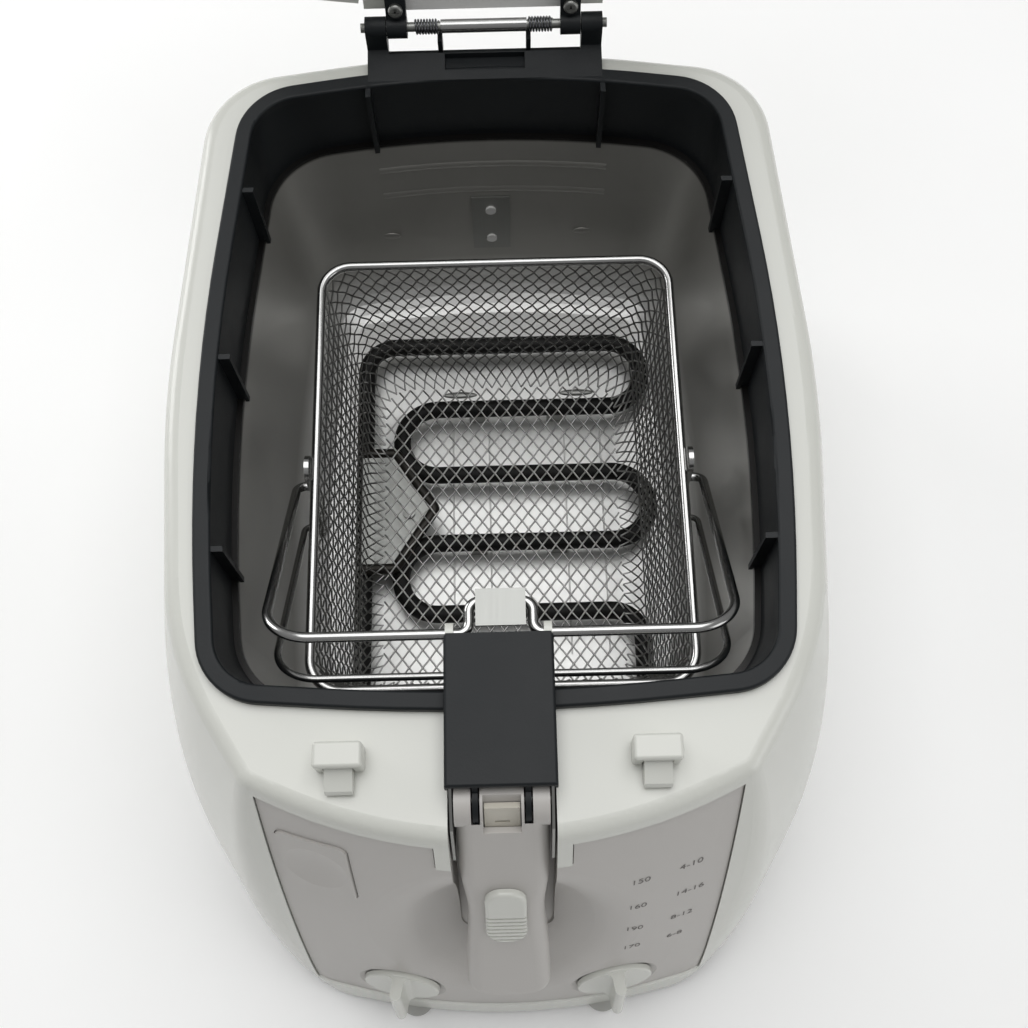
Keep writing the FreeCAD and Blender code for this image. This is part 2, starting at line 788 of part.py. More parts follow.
shell_top = basket_rim_z
basket_outer = Part.makeLoft(
    [basket_outline(basket_taper + rim_wire_radius).wire(basket_floor_z),
     basket_outline(rim_wire_radius).wire(shell_top)], True, True)
basket_inner = Part.makeLoft(
    [basket_outline(basket_taper + rim_wire_radius + mesh_thickness).wire(basket_floor_z + mesh_thickness),
     basket_outline(rim_wire_radius + mesh_thickness).wire(shell_top)], True, True)
rim_path = basket_outline(0.0).wire(basket_rim_z)
first = rim_path.OrderedEdges[0]
rim_start = first.valueAt(first.FirstParameter)
rim_section = Part.Wire(Part.makeCircle(rim_wire_radius, rim_start, first.tangentAt(first.FirstParameter)))
rim_wire = rim_path.makePipeShell([rim_section], True, True)
tub = basket_outer.cut(basket_inner).cut(rim_wire)


def grid(count, low, high):
    """Middles of equal cells between two limits, and the half width of an opening."""
    cell = (high - low) / count
    return [low + (i + 0.5) * cell for i in range(count)], (cell - mesh_bar) / 2


inner_x = basket_half_width - basket_taper - rim_wire_radius - basket_corner / 2
inner_y = (basket_back + basket_front) / 2 - basket_taper - rim_wire_radius - basket_corner / 2
across, half_x = grid(mesh_columns, basket_x - inner_x, basket_x + inner_x)
deep, half_y = grid(mesh_rows, basket_middle - inner_y, basket_middle + inner_y)
tall, half_z = grid(mesh_layers, basket_floor_z + mesh_border, basket_rim_z - mesh_border)
holes = []
for x in across:
    for z in tall:
        holes.append(box(x - half_x, x + half_x, -2 * basket_front, 2 * basket_back, z - half_z, z + half_z))
for y in deep:
    for z in tall:
        holes.append(box(-2 * basket_half_width, 2 * basket_half_width,
                         y - half_y, y + half_y, z - half_z, z + half_z))
    for x in across:
        holes.append(box(x - half_x, x + half_x, y - half_y, y + half_y,
                         basket_floor_z - mesh_thickness, basket_floor_z + 2 * mesh_thickness))
pieces["basket_mesh"] = tub.cut(Part.makeCompound(holes))
pieces["basket_rim"] = rim_wire

lower_pivot_y = pivot_y + lower_axis_y - arm_axis_y
lower_pivot_z = pivot_z + lower_axis_z - arm_axis_z
hanger_x = basket_half_width + rim_wire_radius + hanger_gap
hangers = []
for side in (-1, 1):
    x0 = basket_x + side * hanger_x
    x1 = x0 + side * hanger_thickness
    low, high = min(x0, x1), max(x0, x1)
    top = cylinder_x(low, high, pivot_y, basket_rim_z, hanger_half_width)
    eye = cylinder_x(low, high, pivot_y, pivot_z, hanger_half_width)
    lower_eye = cylinder_x(low, high, lower_pivot_y, lower_pivot_z, hanger_half_width)
    web = side_profile([(pivot_y - hanger_half_width, basket_rim_z),
                        (pivot_y + hanger_half_width, basket_rim_z),
                        (pivot_y + hanger_half_width, pivot_z),
                        (lower_pivot_y + hanger_half_width, lower_pivot_z),
                        (lower_pivot_y - hanger_half_width, lower_pivot_z),
                        (pivot_y - hanger_half_width, pivot_z)], low, high)
    plate = top.fuse([eye, lower_eye, web])
    plate = plate.cut(cylinder_x(low - 1, high + 1, pivot_y, pivot_z, arm_radius + pivot_clearance))
    plate = plate.cut(cylinder_x(low - 1, high + 1, lower_pivot_y, lower_pivot_z,
                                 lower_arm_radius + pivot_clearance))
    hangers.append(plate.removeSplitter())
pieces["basket_hangers"] = Part.makeCompound(hangers)

# Arms: bent wires from the block to the hangers, the upper one with a crank in its middle
pin_tip = hanger_x + 0.3


def arm_point(x, axis_y, axis_z, end_y, end_z, share):
    return V(basket_x + x, axis_y + (end_y - axis_y) * share, axis_z + (end_z - axis_z) * share)


def arm_half(axis_y, axis_z, end_y, end_z, side):
    """Points of one arm half, from the axis out to the pin in the hanger."""
    return [arm_point(side * x, axis_y, axis_z, end_y, end_z, share)
            for x, share in ((arm_leg_x, 0.0), (arm_leg_x, 1.0), (pin_tip, 1.0))]


upper_left = arm_half(arm_axis_y, arm_axis_z, pivot_y, pivot_z, -1)
upper_right = arm_half(arm_axis_y, arm_axis_z, pivot_y, pivot_z, 1)
crank = [V(basket_x - crank_half_width, arm_axis_y, arm_axis_z),
         V(basket_x - crank_half_width, arm_axis_y + crank_reach, arm_axis_z),
         V(basket_x + crank_half_width, arm_axis_y + crank_reach, arm_axis_z),
         V(basket_x + crank_half_width, arm_axis_y, arm_axis_z)]
half_bends = [arm_end_bend, arm_bend]
pieces["arm_upper"] = rod(upper_left[::-1] + crank + upper_right,
                          half_bends + [crank_bend] * 4 + half_bends[::-1], arm_radius)
pieces["arm_lower"] = rod(
    arm_half(lower_axis_y, lower_axis_z, lower_pivot_y, lower_pivot_z, -1)[::-1]
    + arm_half(lower_axis_y, lower_axis_z, lower_pivot_y, lower_pivot_z, 1),
    half_bends + half_bends[::-1], lower_arm_radius)
tab_y = arm_axis_y + crank_reach + arm_radius
pieces["crank_tab"] = box(basket_x - tab_half_width, basket_x + tab_half_width, tab_y - tab_length, tab_y + 2,
                          arm_axis_z + arm_radius, arm_axis_z + arm_radius + tab_thickness)

# Carrier frame: steel cheeks under the block, which hold both arms and the handle
cheek_outer = block_half_width - cover_side - frame_gap
cheek_inner = cheek_outer - frame_thickness
frame_top = block_top_z - block_wall - frame_gap
lobe = 4.6
flange_clear = flange_top + 0.8
cheek_side = [
    (block_back, frame_top), (block_back, arm_axis_z - lobe), (lower_axis_y + lobe, lower_axis_z),
    (lower_axis_y + lobe, lower_axis_z - lobe), (lower_axis_y - lobe, lower_axis_z - lobe),
    (lower_axis_y - lobe, flange_clear), (slot_back - 4, flange_clear), (slot_back - 6, slot_step_z + 4),
    (slot_step_y - 4, slot_step_z + 1), (-deck_front - 4, slot_step_z + 2),
    (-deck_front + 4, deck_z - 1), (block_front + 1, frame_top)]
cheeks = [side_profile(cheek_side, handle_x + low, handle_x + low + frame_thickness)
          for low in (-cheek_outer, cheek_inner)]
frame_plate = box(handle_x - cheek_outer, handle_x + cheek_outer, block_front + 12, block_back - 8,
                  frame_top - frame_thickness, frame_top)
frame = cheeks[0].fuse([cheeks[1], frame_plate])
arm_bore = cylinder_x(-60, 60, arm_axis_y, arm_axis_z, bush_radius)
lower_bore = cylinder_x(-60, 60, lower_axis_y, lower_axis_z, lower_arm_radius + pivot_clearance)
handle_bore = cylinder_x(-60, 60, handle_pivot_y, handle_pivot_z, handle_pin_radius)
pieces["carrier_frame"] = frame.cut([lower_bore, handle_bore, arm_bore]).removeSplitter()
bushes = []
for low in (-cheek_outer - 0.8, cheek_inner - 1.0):
    ring_solid = cylinder_x(handle_x + low, handle_x + low + bush_length, arm_axis_y, arm_axis_z, bush_radius)
    bushes.append(ring_solid.cut(cylinder_x(-60, 60, arm_axis_y, arm_axis_z, arm_radius + pivot_clearance)))
pieces["arm_bushes"] = Part.makeCompound(bushes)

# Handle block: black cover over the frame, with two ears at its front for the handle
cover = box(handle_x - block_half_width, handle_x + block_half_width, block_front, block_back,
            flange_clear, block_top_z)
cover_edges = [e for e in cover.Edges if e.BoundBox.ZMin > block_top_z - 0.01]
cover = cover.makeFillet(block_edge_radius, cover_edges)
cover_room = box(handle_x - cheek_outer - frame_gap, handle_x + cheek_outer + frame_gap,
                 block_front - 1, block_back + 1, flange_clear - 1, block_top_z - block_wall)
cover = cover.cut(cover_room).cut(arm_bore)
ears = []
for x in (-ear_x, ear_x):
    low, high = handle_x + x - ear_thickness / 2, handle_x + x + ear_thickness / 2
    disc = cylinder_x(low, high, handle_pivot_y, handle_pivot_z, ear_radius)
    web = side_profile([(block_front, block_top_z - 1), (block_front + 8, block_top_z - 1),
                        (block_front + 8, frame_top - frame_thickness - 0.4),
                        (handle_pivot_y + 4, handle_pivot_z),
                        (handle_pivot_y - 2, handle_pivot_z)], low, high)
    ears.append(disc.fuse(web))
cover = cover.fuse(ears).cut(handle_bore)
pieces["handle_block"] = cover.removeSplitter()
pieces["handle_pin"] = cylinder_x(handle_x - cheek_outer, handle_x + cheek_outer,
                                  handle_pivot_y, handle_pivot_z, handle_pin_radius)

# Folding handle, modelled hanging straight down from its pivot and then leaned forward
hang = FreeCAD.Placement(V(handle_x, handle_pivot_y, handle_pivot_z),
                         FreeCAD.Rotation(V(1, 0, 0), -handle_lean))


def handle_section(down, half_width, front, back):
    points = [(half_width, -front), (half_width, back), (-half_width, back), (-half_width, -front)]
    return Outline(points, [handle_edge] * 4).wire(-down)


handle_shape = [(0.0, handle_half_width, 0.0), (0.27, handle_half_width, 0.0), (0.5, handle_waist_half, 1.0),
                (0.82, handle_end_half - 0.6, 0.6), (1.0, handle_end_half, 0.2)]
sections = []
for (d0, w0, t0), (d1, w1, t1) in zip(handle_shape, handle_shape[1:]):
    for step in range(4):
        blend = (1 - math.cos(math.pi * step / 4)) / 2
        slim = t0 + (t1 - t0) * blend
        sections.append(handle_section(handle_length * (d0 + (d1 - d0) * step / 4), w0 + (w1 - w0) * blend,
                                       handle_front, handle_back - slim))
sections.append(handle_section(handle_length, handle_end_half, handle_front, handle_back - 0.2))
grip = Part.makeLoft(sections, True, True)


def front_view(points, radii, y0, y1):
    """Solid with a front view given as (x, z) points, from y0 to y1."""
    solid = Outline(points, radii).prism(-y1, -y0)
    solid.rotate(V(0, 0, 0), V(1, 0, 0), 90)
    return solid


grip = grip.common(front_view(
    [(handle_end_half, -handle_length), (handle_end_half, handle_length),
     (-handle_end_half, handle_length), (-handle_end_half, -handle_length)],
    [handle_end_corner, 1.0, 1.0, handle_end_corner], -3 * handle_front, 3 * handle_back))
end_edges = [e for e in grip.Edges if e.BoundBox.ZMax < 1 - handle_length]
grip = grip.makeFillet(handle_edge - 1, end_edges)
head_radius = (handle_front + handle_back) / 2 - 0.1
head = Part.makeCylinder(head_radius, 2 * handle_half_width,
                         V(-handle_half_width, (handle_back - handle_front) / 2, 0), V(1, 0, 0))
grip = grip.fuse(head)
for x in (-ear_x, ear_x):
    grip = grip.cut(Part.makeCylinder(
        ear_radius + ear_clearance, ear_thickness + 2 * ear_clearance,
        V(x - ear_thickness / 2 - ear_clearance, 0, 0), V(1, 0, 0)))
    grip = grip.cut(box(x - ear_thickness / 2 - ear_clearance, x + ear_thickness / 2 + ear_clearance,
                        -2 * ear_radius, 2 * ear_radius, 0, 2 * ear_radius))
grip = grip.cut(Part.makeCylinder(handle_pin_radius + pivot_clearance, 4 * handle_half_width,
                                  V(-2 * handle_half_width, 0, 0), V(1, 0, 0)))
bolt_front = -handle_front + 3.0
bolt_back = bolt_front + bolt_thickness
bolt_room = box(-bolt_half_width - slider_clearance, bolt_half_width + slider_clearance,
                -2 * handle_front, bolt_back + slider_clearance, -bolt_window, 2 * handle_front)
strip_room = box(-bolt_half_width - slider_clearance, bolt_half_width + slider_clearance,
                 bolt_front - slider_clearance, bolt_back + slider_clearance,
                 -slider_start - slider_length - slider_travel - 1, 1.0)
stem_z = -slider_start - (slider_length + slider_stem_length) / 2
slider_room = box(-slider_stem_half - slider_clearance, slider_stem_half + slider_clearance,
                  -2 * handle_front, bolt_back + slider_clearance,
                  stem_z - slider_travel - slider_clearance, stem_z + slider_stem_length + slider_clearance)
grip = grip.cut(bolt_room).cut(strip_room).cut(slider_room)
split = 1.5
half_room = box(-50, 50, split, 50, -2 * handle_length, -ear_radius - 8)
grip_front = grip.cut(half_room)
grip_rear = grip.common(half_room)
screw_places = [V(0, handle_back - 2.2, -handle_length * 0.3), V(0, handle_back - 2.2, -handle_length * 0.86)]
screw_heads = [Part.makeCylinder(handle_screw_radius, 1.2, p, V(0, 1, 0)) for p in screw_places]
screw_wells = [Part.makeCylinder(handle_screw_radius + 0.2, 20, p, V(0, 1, 0)) for p in screw_places]
grip_rear = grip_rear.cut(screw_wells)
slider_z0 = -slider_start - slider_length
cap_back = -handle_front - slider_clearance / 2
cap_front = cap_back - slider_proud
slider = front_view(
    [(slider_half_width, slider_z0), (slider_half_width, -slider_start),
     (-slider_half_width, -slider_start), (-slider_half_width, slider_z0)],
    [slider_corner] * 4, cap_front, cap_back)
slider = slider.makeFillet(1.6, [e for e in slider.Edges if e.BoundBox.YMax < cap_front + 0.01])
slider = slider.fuse(box(-slider_stem_half, slider_stem_half, cap_back - 0.5, bolt_front,
                         stem_z, stem_z + slider_stem_length))
rib_count = 7
for i in range(rib_count):
    z = slider_z0 + 2.0 + i * 2.6
    slider = slider.cut(box(-slider_half_width - 1, slider_half_width + 1,
                            cap_front - 1, cap_front + 0.9, z, z + 1.1))
bolt = box(-bolt_half_width, bolt_half_width, bolt_front, bolt_back, slider_z0 + 2, bolt_end)
bolt = bolt.cut(box(-bolt_notch, bolt_notch, bolt_front - 1, bolt_front + 1.2,
                    2 - bolt_window, 3.4 - bolt_window))
for name, solid in (("handle_grip", grip_front), ("handle_back", grip_rear), ("slider_button", slider),
                    ("lock_bolt", bolt), ("handle_screws", Part.makeCompound(screw_heads))):
    solid.Placement = hang.multiply(solid.Placement)
    pieces[name] = solid

# Knobs with their shafts and the controls behind the panel
for name, place in knob_frames.items():
    hole = Part.makeCylinder(bezel_radius + 0.3, 40, V(0, 0, -20))
    hole.Placement = place
    panel = panel.cut(hole)
    flare = knob_flare
    half_blade = knob_blade / 2
    top = knob_reach - dish_depth
    low = knob_base + knob_lift
    bulge = flare * (1 - math.sqrt(0.5))
    profile = Part.Wire([
        Part.makeLine(V(-half_blade - flare, 0, low - 1), V(half_blade + flare, 0, low - 1)),
        Part.makeLine(V(half_blade + flare, 0, low - 1), V(half_blade + flare, 0, low)),
        Part.Arc(V(half_blade + flare, 0, low), V(half_blade + bulge, 0, low + bulge),
                 V(half_blade, 0, low + flare)).toShape(),
        Part.makeLine(V(half_blade, 0, low + flare), V(half_blade, 0, top - half_blade)),
        Part.Arc(V(half_blade, 0, top - half_blade), V(0, 0, top),
                 V(-half_blade, 0, top - half_blade)).toShape(),
        Part.makeLine(V(-half_blade, 0, top - half_blade), V(-half_blade, 0, low + flare)),
        Part.Arc(V(-half_blade, 0, low + flare), V(-half_blade - bulge, 0, low + bulge),
                 V(-half_blade - flare, 0, low)).toShape(),
        Part.makeLine(V(-half_blade - flare, 0, low), V(-half_blade - flare, 0, low - 1))])
    blade = Part.Face(profile).extrude(V(0, 2 * knob_radius, 0))
    blade.translate(V(0, -knob_radius, 0))
    blade = blade.common(Part.makeCylinder(knob_radius - 0.4, 2 * knob_reach, V(0, 0, -knob_reach)))
    knob = Part.makeCylinder(knob_radius, knob_base, V(0, 0, knob_lift))
    knob = knob.makeFillet(0.8, [e for e in knob.Edges if e.BoundBox.ZMin > low - 0.01])
    shaft = Part.makeCylinder(shaft_radius, shaft_length + 1, V(0, 0, knob_lift - shaft_length))
    knob = knob.fuse([blade, shaft])
    case_top = -dish_depth - body_wall - 2.6
    unit = box(-control_half, control_half, -control_half, control_half, case_top - control_depth, case_top)
    unit = unit.fuse(Part.makeCylinder(bezel_radius, -dish_depth - case_top, V(0, 0, case_top)))
    unit = unit.cut(Part.makeCylinder(shaft_radius + shaft_clearance, shaft_length + 2,
                                      V(0, 0, knob_lift - shaft_length - 0.5)))
    knob.Placement = place
    unit.Placement = place
    pieces[name + "_knob"] = knob.removeSplitter()
    pieces[name + "_unit"] = unit

# Lid release button, a piece of the panel's own skin that moves inwards
def button_prism(grow, depth, proud):
    x, y = button_half_width + grow, button_half_height + grow
    points = [(x, -y), (x, y), (-x, y), (-x, -y)]
    solid = Outline(points, [button_corner + grow] * 4).prism(-depth, proud)
    solid.Placement = button_place
    return solid


panel = panel.cut(button_prism(seam, 20, 20))
button_skin = body_block.cut(body_solid(button_depth, foot_height, deck_z - button_depth))
button = button_skin.common(button_prism(0.0, 20, 20))
button_normal = button_place.Rotation.multVec(V(0, 0, 1))
button.translate(button_normal * button_proud)
thumb_rise = thumb_radius + button_proud - thumb_depth
thumb = Part.makeSphere(thumb_radius, button_place.Base + button_normal * thumb_rise)
button = button.cut(thumb)
stem_foot = button_place.Base - button_normal * button_depth / 2
stem_length = link_pad_y - tongue_gap - stem_foot.y
stem = Part.makeCylinder(button_stem_radius, stem_length, stem_foot, V(0, 1, 0))
pieces["release_button"] = button.fuse(stem)

# Latches: a housing on the deck, and tongues on one sliding link under it
latch_housings = []
tongues = []
for side, name in ((-1, "left"), (1, "right")):
    x = side * latch_x
    shell = rounded_box(x - latch_half_width, x + latch_half_width, latch_front, latch_back,
                        deck_z - 3, deck_z + latch_height, 1.4)
    shell = shell.cut(box(x - 20, x + 20, -300, 0, 0, deck_z))
    mouth = box(x - tongue_half_width - 0.5, x + tongue_half_width + 0.5, latch_front - 1, latch_back - 1.5,
                deck_z - 1, deck_z + tongue_top + 0.8)
    pieces["latch_housing_" + name] = shell.cut(mouth)
    nose = [(latch_front + tongue_root, deck_z + tongue_gap), (tongue_front + 1.5, deck_z + tongue_gap),
            (tongue_front, deck_z + 2.5), (tongue_front + 1, deck_z + 4.5),
            (latch_front, deck_z + tongue_top), (latch_front + tongue_root, deck_z + tongue_top)]
    tongue = side_profile(nose, x - tongue_half_width, x + tongue_half_width)
    foot_y = latch_front + tongue_root - stalk_depth
    stalk = box(x - tongue_half_width + 1, x + tongue_half_width - 1, foot_y, foot_y + stalk_depth,
                link_top_z, deck_z + 2)
    pieces["latch_tongue_" + name] = tongue.fuse(stalk)
    housing = housing.cut(box(x - tongue_half_width, x + tongue_half_width, foot_y - tongue_gap,
                              foot_y + stalk_depth + latch_travel + 1, deck_z - 10, deck_z + 1))
    tongues.append((x, foot_y))
link = box(button_x - 8, latch_x + 6, link_front, link_back, link_bottom_z, link_top_z)
for x, foot_y in tongues:
    link = link.fuse(box(x - 6, x + 6, foot_y - 1, link_back, link_bottom_z, link_top_z))
stem_z = stem_foot.z
link = link.fuse(box(button_x - 8, button_x + 8, link_front - 2, link_back, stem_z - 6, link_top_z))
link = link.fuse(box(button_x - 8, button_x + 8, link_pad_y, link_front, stem_z - 6, stem_z + 6))
pieces["latch_link"] = link.removeSplitter()

# Base, feet and electrics
base_block = base_plan.prism(foot_height, foot_height + base_thickness, body_wall + base_gap)
foot_places = [(-front_foot_x, front_foot_y), (front_foot_x, front_foot_y),
               (-back_foot_x, back_foot_y), (back_foot_x, back_foot_y)]
pieces["feet"] = Part.makeCompound(
    [Part.makeCone(foot_radius - 1, foot_radius, foot_height, V(x, y, 0)) for x, y in foot_places])
screw_spots = [(x, y) for x in (-standoff_x, standoff_x)
               for y in (side_middle_y - standoff_y, side_middle_y + standoff_y)]
pieces["base_screws"] = Part.makeCompound(
    [Part.makeCylinder(base_screw_radius, 2.0, V(x, y, foot_height - 2.0)) for x, y in screw_spots])
pieces["base_plate"] = base_block
block_bottom = foot_height + base_thickness
pieces["terminal_block"] = box(-terminal_width / 2, terminal_width / 2, -175.0, -160.0,
                               block_bottom, block_bottom + 14)
pieces["thermal_cutout"] = Part.makeCylinder(
    cutout_radius, pot_bottom_z - block_bottom, V(0, side_middle_y, block_bottom))
back_wall_y = body_block.common(
    Part.makeLine(V(gland_x, 0, gland_z), V(gland_x, 2 * base_back, gland_z))).BoundBox.YMax
gland = Part.makeCylinder(gland_radius, 9, V(gland_x, back_wall_y - 6, gland_z), V(0, 1, 0))
gland = gland.fuse(Part.makeCylinder(gland_radius + 3, 3, V(gland_x, back_wall_y + 2.4, gland_z), V(0, 1, 0)))
pieces["cord_gland"] = gland
housing = housing.cut(Part.makeCylinder(gland_radius, 40, V(gland_x, back_wall_y - 20, gland_z), V(0, 1, 0)))
pieces["outer_housing"] = housing
pieces["front_panel"] = panel

# Lid, modelled closed
lid_plan = nosed_outline(
    lid_half_width, lid_back, lid_front, lid_front_half_width, deck_front_bow, 180.0, 14.0,
    26.0, lid_shoulder, lid_side_bow, lid_taper)


def lid_solid(inset, bottom, top):
    return Part.makeLoft(
        [lid_plan.wire(bottom, inset), lid_plan.wire(lid_shoulder_z, inset + 2),
         lid_plan.wire(top, inset + lid_top_inset)], True, True)


lid = lid_solid(0.0, lid_skirt_z, lid_top_z)
lid = lid.makeFillet(lid_top_radius, [e for e in lid.Edges if e.BoundBox.ZMin > lid_top_z - 0.01])
lid_room = lid_solid(lid_wall, lid_skirt_z, lid_top_z - lid_wall)
lid = lid.cut(lid_room)
neck = box(-neck_half_width, neck_half_width, lid_back - 20, hinge_y - knuckle_radius,
           lid_shoulder_z - neck_thickness, lid_shoulder_z)
posts = [Part.makeCylinder(post_radius, lid_top_z - 1 - liner_z - liner_thickness,
                           V(x, y + side_middle_y, liner_z + liner_thickness))
         for x in (-post_x, post_x) for y in (-post_y, post_y)]
lid = lid.fuse([neck] + posts)
lid = lid.cut(box(-lid_notch_half_width, lid_notch_half_width, -2 * lid_front, slot_back,
                  lid_skirt_z - 10, block_top_z + 4))
lid = lid.cut(box(-neck_half_width, neck_half_width, lid_back - 12, lid_back + 40,
                  lid_skirt_z - 10, lid_shoulder_z - neck_thickness))
filter_window = box(-filter_half_width, filter_half_width, filter_front, filter_back,
                    lid_top_z - 10, lid_top_z + 10)
lid = lid.cut(filter_window)
cover = box(-filter_half_width + seam, filter_half_width - seam, filter_front + seam, filter_back - seam,
            lid_top_z - lid_wall, lid_top_z + 1.5)
cover = cover.makeFillet(3.0, [e for e in cover.Edges if e.BoundBox.ZLength > lid_wall])
pitch = (filter_back - filter_front - 12) / vent_slots
for i in range(vent_slots):
    y = filter_front + 6 + (i + 0.5) * pitch
    cover = cover.cut(box(-filter_half_width + 12, filter_half_width - 12, y - vent_slot_width / 2,
                          y + vent_slot_width / 2, lid_top_z - 10, lid_top_z + 10))
filter_mat = box(-filter_half_width + 3, filter_half_width - 3, filter_front + 3, filter_back - 3,
                 lid_top_z - lid_wall - filter_thickness, lid_top_z - lid_wall)

liner_outline_inset = flange_width + liner_gap
liner = ring.prism(liner_rim_z, liner_z + liner_thickness, liner_outline_inset)
liner = liner.cut(ring.prism(liner_rim_z - 1, liner_z, liner_outline_inset + liner_thickness))
liner = liner.fuse(box(-liner_neck_half_width, liner_neck_half_width,
                       lid_back - 30, hinge_y - knuckle_radius - 1, liner_z, liner_z + liner_thickness))
liner = liner.cut(box(-lid_notch_half_width, lid_notch_half_width, -2 * lid_front, slot_back + 30,
                      lid_skirt_z - 10, block_top_z + 4))
liner = liner.cut(box(-neck_half_width, neck_half_width, ring_back - 3 * flange_width, lid_back + 40,
                      lid_skirt_z - 10, liner_z))
steam_pitch = 14.0
steam_middle = (filter_back + filter_front) / 2
steam_holes = [Part.makeCylinder(3.0, 20, V(x * steam_pitch, steam_middle + y * steam_pitch, liner_z - 5))
               for x in range(-3, 4) for y in (-1, 0, 1)]
liner = liner.cut(steam_holes)
gasket = ring.prism(gasket_z, gasket_z + gasket_height, liner_outline_inset - gasket_width)
gasket = gasket.common(lid_plan.prism(gasket_z, gasket_z + gasket_height, lid_wall + gasket_room))
gasket = gasket.cut(ring.prism(gasket_z - 1, gasket_z + gasket_height + 1, liner_outline_inset))
gasket = gasket.cut(box(-lid_notch_half_width, lid_notch_half_width, -2 * lid_front, 0, 0, 2 * lid_top_z))
gasket = gasket.cut(box(-neck_half_width, neck_half_width, 0, 2 * lid_front, 0, 2 * lid_top_z))

arms = []
for low in (-knuckle_inner + knuckle_gap, lid_knuckle_inner):
    high = low + knuckle_inner - knuckle_gap - lid_knuckle_inner
    knuckle = cylinder_x(low, high, hinge_y, hinge_z, knuckle_radius)
    tongue = box(low, high, hinge_y - 16, hinge_y, hinge_z - 1, liner_z)
    arm = knuckle.fuse(tongue)
    arm = arm.cut(cylinder_x(low - 1, high + 1, hinge_y, hinge_z, pin_radius + pin_clearance))
    arms.append(arm.removeSplitter())
lid_screws = []
for arm in arms:
    x = arm.BoundBox.Center.x
    head = Part.makeCylinder(lid_screw_radius, 2.2, V(x, hinge_y - lid_screw_reach, hinge_z - 1), V(0, 0, -1))
    lid_screws.append(head.makeFillet(1.2, [e for e in head.Edges if e.BoundBox.ZMax < hinge_z - 3.1]))
catches = []
for x in (-latch_x, latch_x):
    front = tongue_front - catch_gap
    hook = box(x - tongue_half_width, x + tongue_half_width, front - 2, front - 0.1,
               catch_lip_z, lid_shoulder_z + 4)
    hook = hook.common(lid_room.fuse(box(x - 20, x + 20, front - 2, 0, 0, lid_skirt_z)))
    lip_box = box(x - tongue_half_width, x + tongue_half_width, front - 2, front,
                  catch_lip_z, catch_lip_z + catch_lip)
    catches.append(hook.fuse(lip_box).removeSplitter())

lid_pieces = {"lid_shell": lid, "lid_liner": liner, "lid_gasket": gasket, "filter_cover": cover,
              "filter_mat": filter_mat, "lid_hinge_arms": Part.makeCompound(arms),
              "lid_screws": Part.makeCompound(lid_screws), "lid_catches": Part.makeCompound(catches)}
for name, solid in lid_pieces.items():
    solid.rotate(V(0, hinge_y, hinge_z), V(-1, 0, 0), lid_open)
    pieces[name] = solid

# The origin stands on the table under the middle of the open object
boxes = [shape.optimalBoundingBox(False) for shape in pieces.values()]
middle_y = (min(b.YMin for b in boxes) + max(b.YMax for b in boxes)) / 2
for name, shape in pieces.items():
    shape.translate(V(0, -middle_y, 0))
    shape.exportStep("parts/" + name + ".step")
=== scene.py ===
import math

import bmesh
import bpy
from mathutils import Matrix, Vector
from mathutils.bvhtree import BVHTree


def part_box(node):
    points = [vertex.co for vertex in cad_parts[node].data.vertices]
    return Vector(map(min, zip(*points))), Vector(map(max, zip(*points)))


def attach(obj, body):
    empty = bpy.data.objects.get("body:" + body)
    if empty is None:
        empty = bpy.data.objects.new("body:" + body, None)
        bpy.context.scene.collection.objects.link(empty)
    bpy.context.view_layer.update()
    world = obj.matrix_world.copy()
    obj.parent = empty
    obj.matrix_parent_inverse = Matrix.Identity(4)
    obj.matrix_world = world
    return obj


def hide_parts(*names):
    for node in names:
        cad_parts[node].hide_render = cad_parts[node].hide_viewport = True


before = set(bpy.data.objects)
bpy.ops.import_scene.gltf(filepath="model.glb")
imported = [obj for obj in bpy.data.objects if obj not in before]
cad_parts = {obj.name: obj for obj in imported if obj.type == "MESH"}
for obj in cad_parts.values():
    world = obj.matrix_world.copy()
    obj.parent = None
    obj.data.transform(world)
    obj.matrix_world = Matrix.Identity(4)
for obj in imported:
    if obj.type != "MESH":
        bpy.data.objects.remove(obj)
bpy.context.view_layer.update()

# Camera and studio. The fryer stands on a pale laminate table and is seen from above its front
# edge, steeply downwards. One broad soft light hangs overhead, and a weaker one stands at each side.
camera_spot = (0.0078, -0.2401, 0.656)
camera_pitch = math.radians(20.0)
camera_roll = -0.025
camera = bpy.data.objects.new("camera", bpy.data.cameras.new("camera"))
camera.data.sensor_width = 36.0
camera.data.lens = 44.61
camera.data.clip_start = 0.05
turn = Matrix.Rotation(camera_pitch, 4, "X") @ Matrix.Rotation(camera_roll, 4, "Z")
camera.matrix_world = Matrix.Translation(camera_spot) @ turn
bpy.context.scene.collection.objects.link(camera)
bpy.context.scene.camera = camera


def hex_colour(code):
    """Linear colour from an sRGB hex code."""
    parts = [int(code[i:i + 2], 16) / 255 for i in (1, 3, 5)]
    return [p / 12.92 if p <= 0.04045 else ((p + 0.055) / 1.055) ** 2.4 for p in parts] + [1.0]


def plug(material, node, inputs):
    """Set a node's inputs, each to a value, or linked to an output of another node."""
    for socket, value in inputs.items():
        if isinstance(value, bpy.types.NodeSocket):
            material.node_tree.links.new(value, node.inputs[socket])
        else:
            node.inputs[socket].default_value = value


def add_node(material, kind, inputs=None, **settings):
    """Add a node with its settings and inputs."""
    added = material.node_tree.nodes.new(kind)
    for key, value in settings.items():
        setattr(added, key, value)
    plug(material, added, inputs or {})
    return added


def new_material(name):
    """Empty node material and its shader."""
    made = bpy.data.materials.new(name)
    made.use_nodes = True
    return made, made.node_tree.nodes["Principled BSDF"]


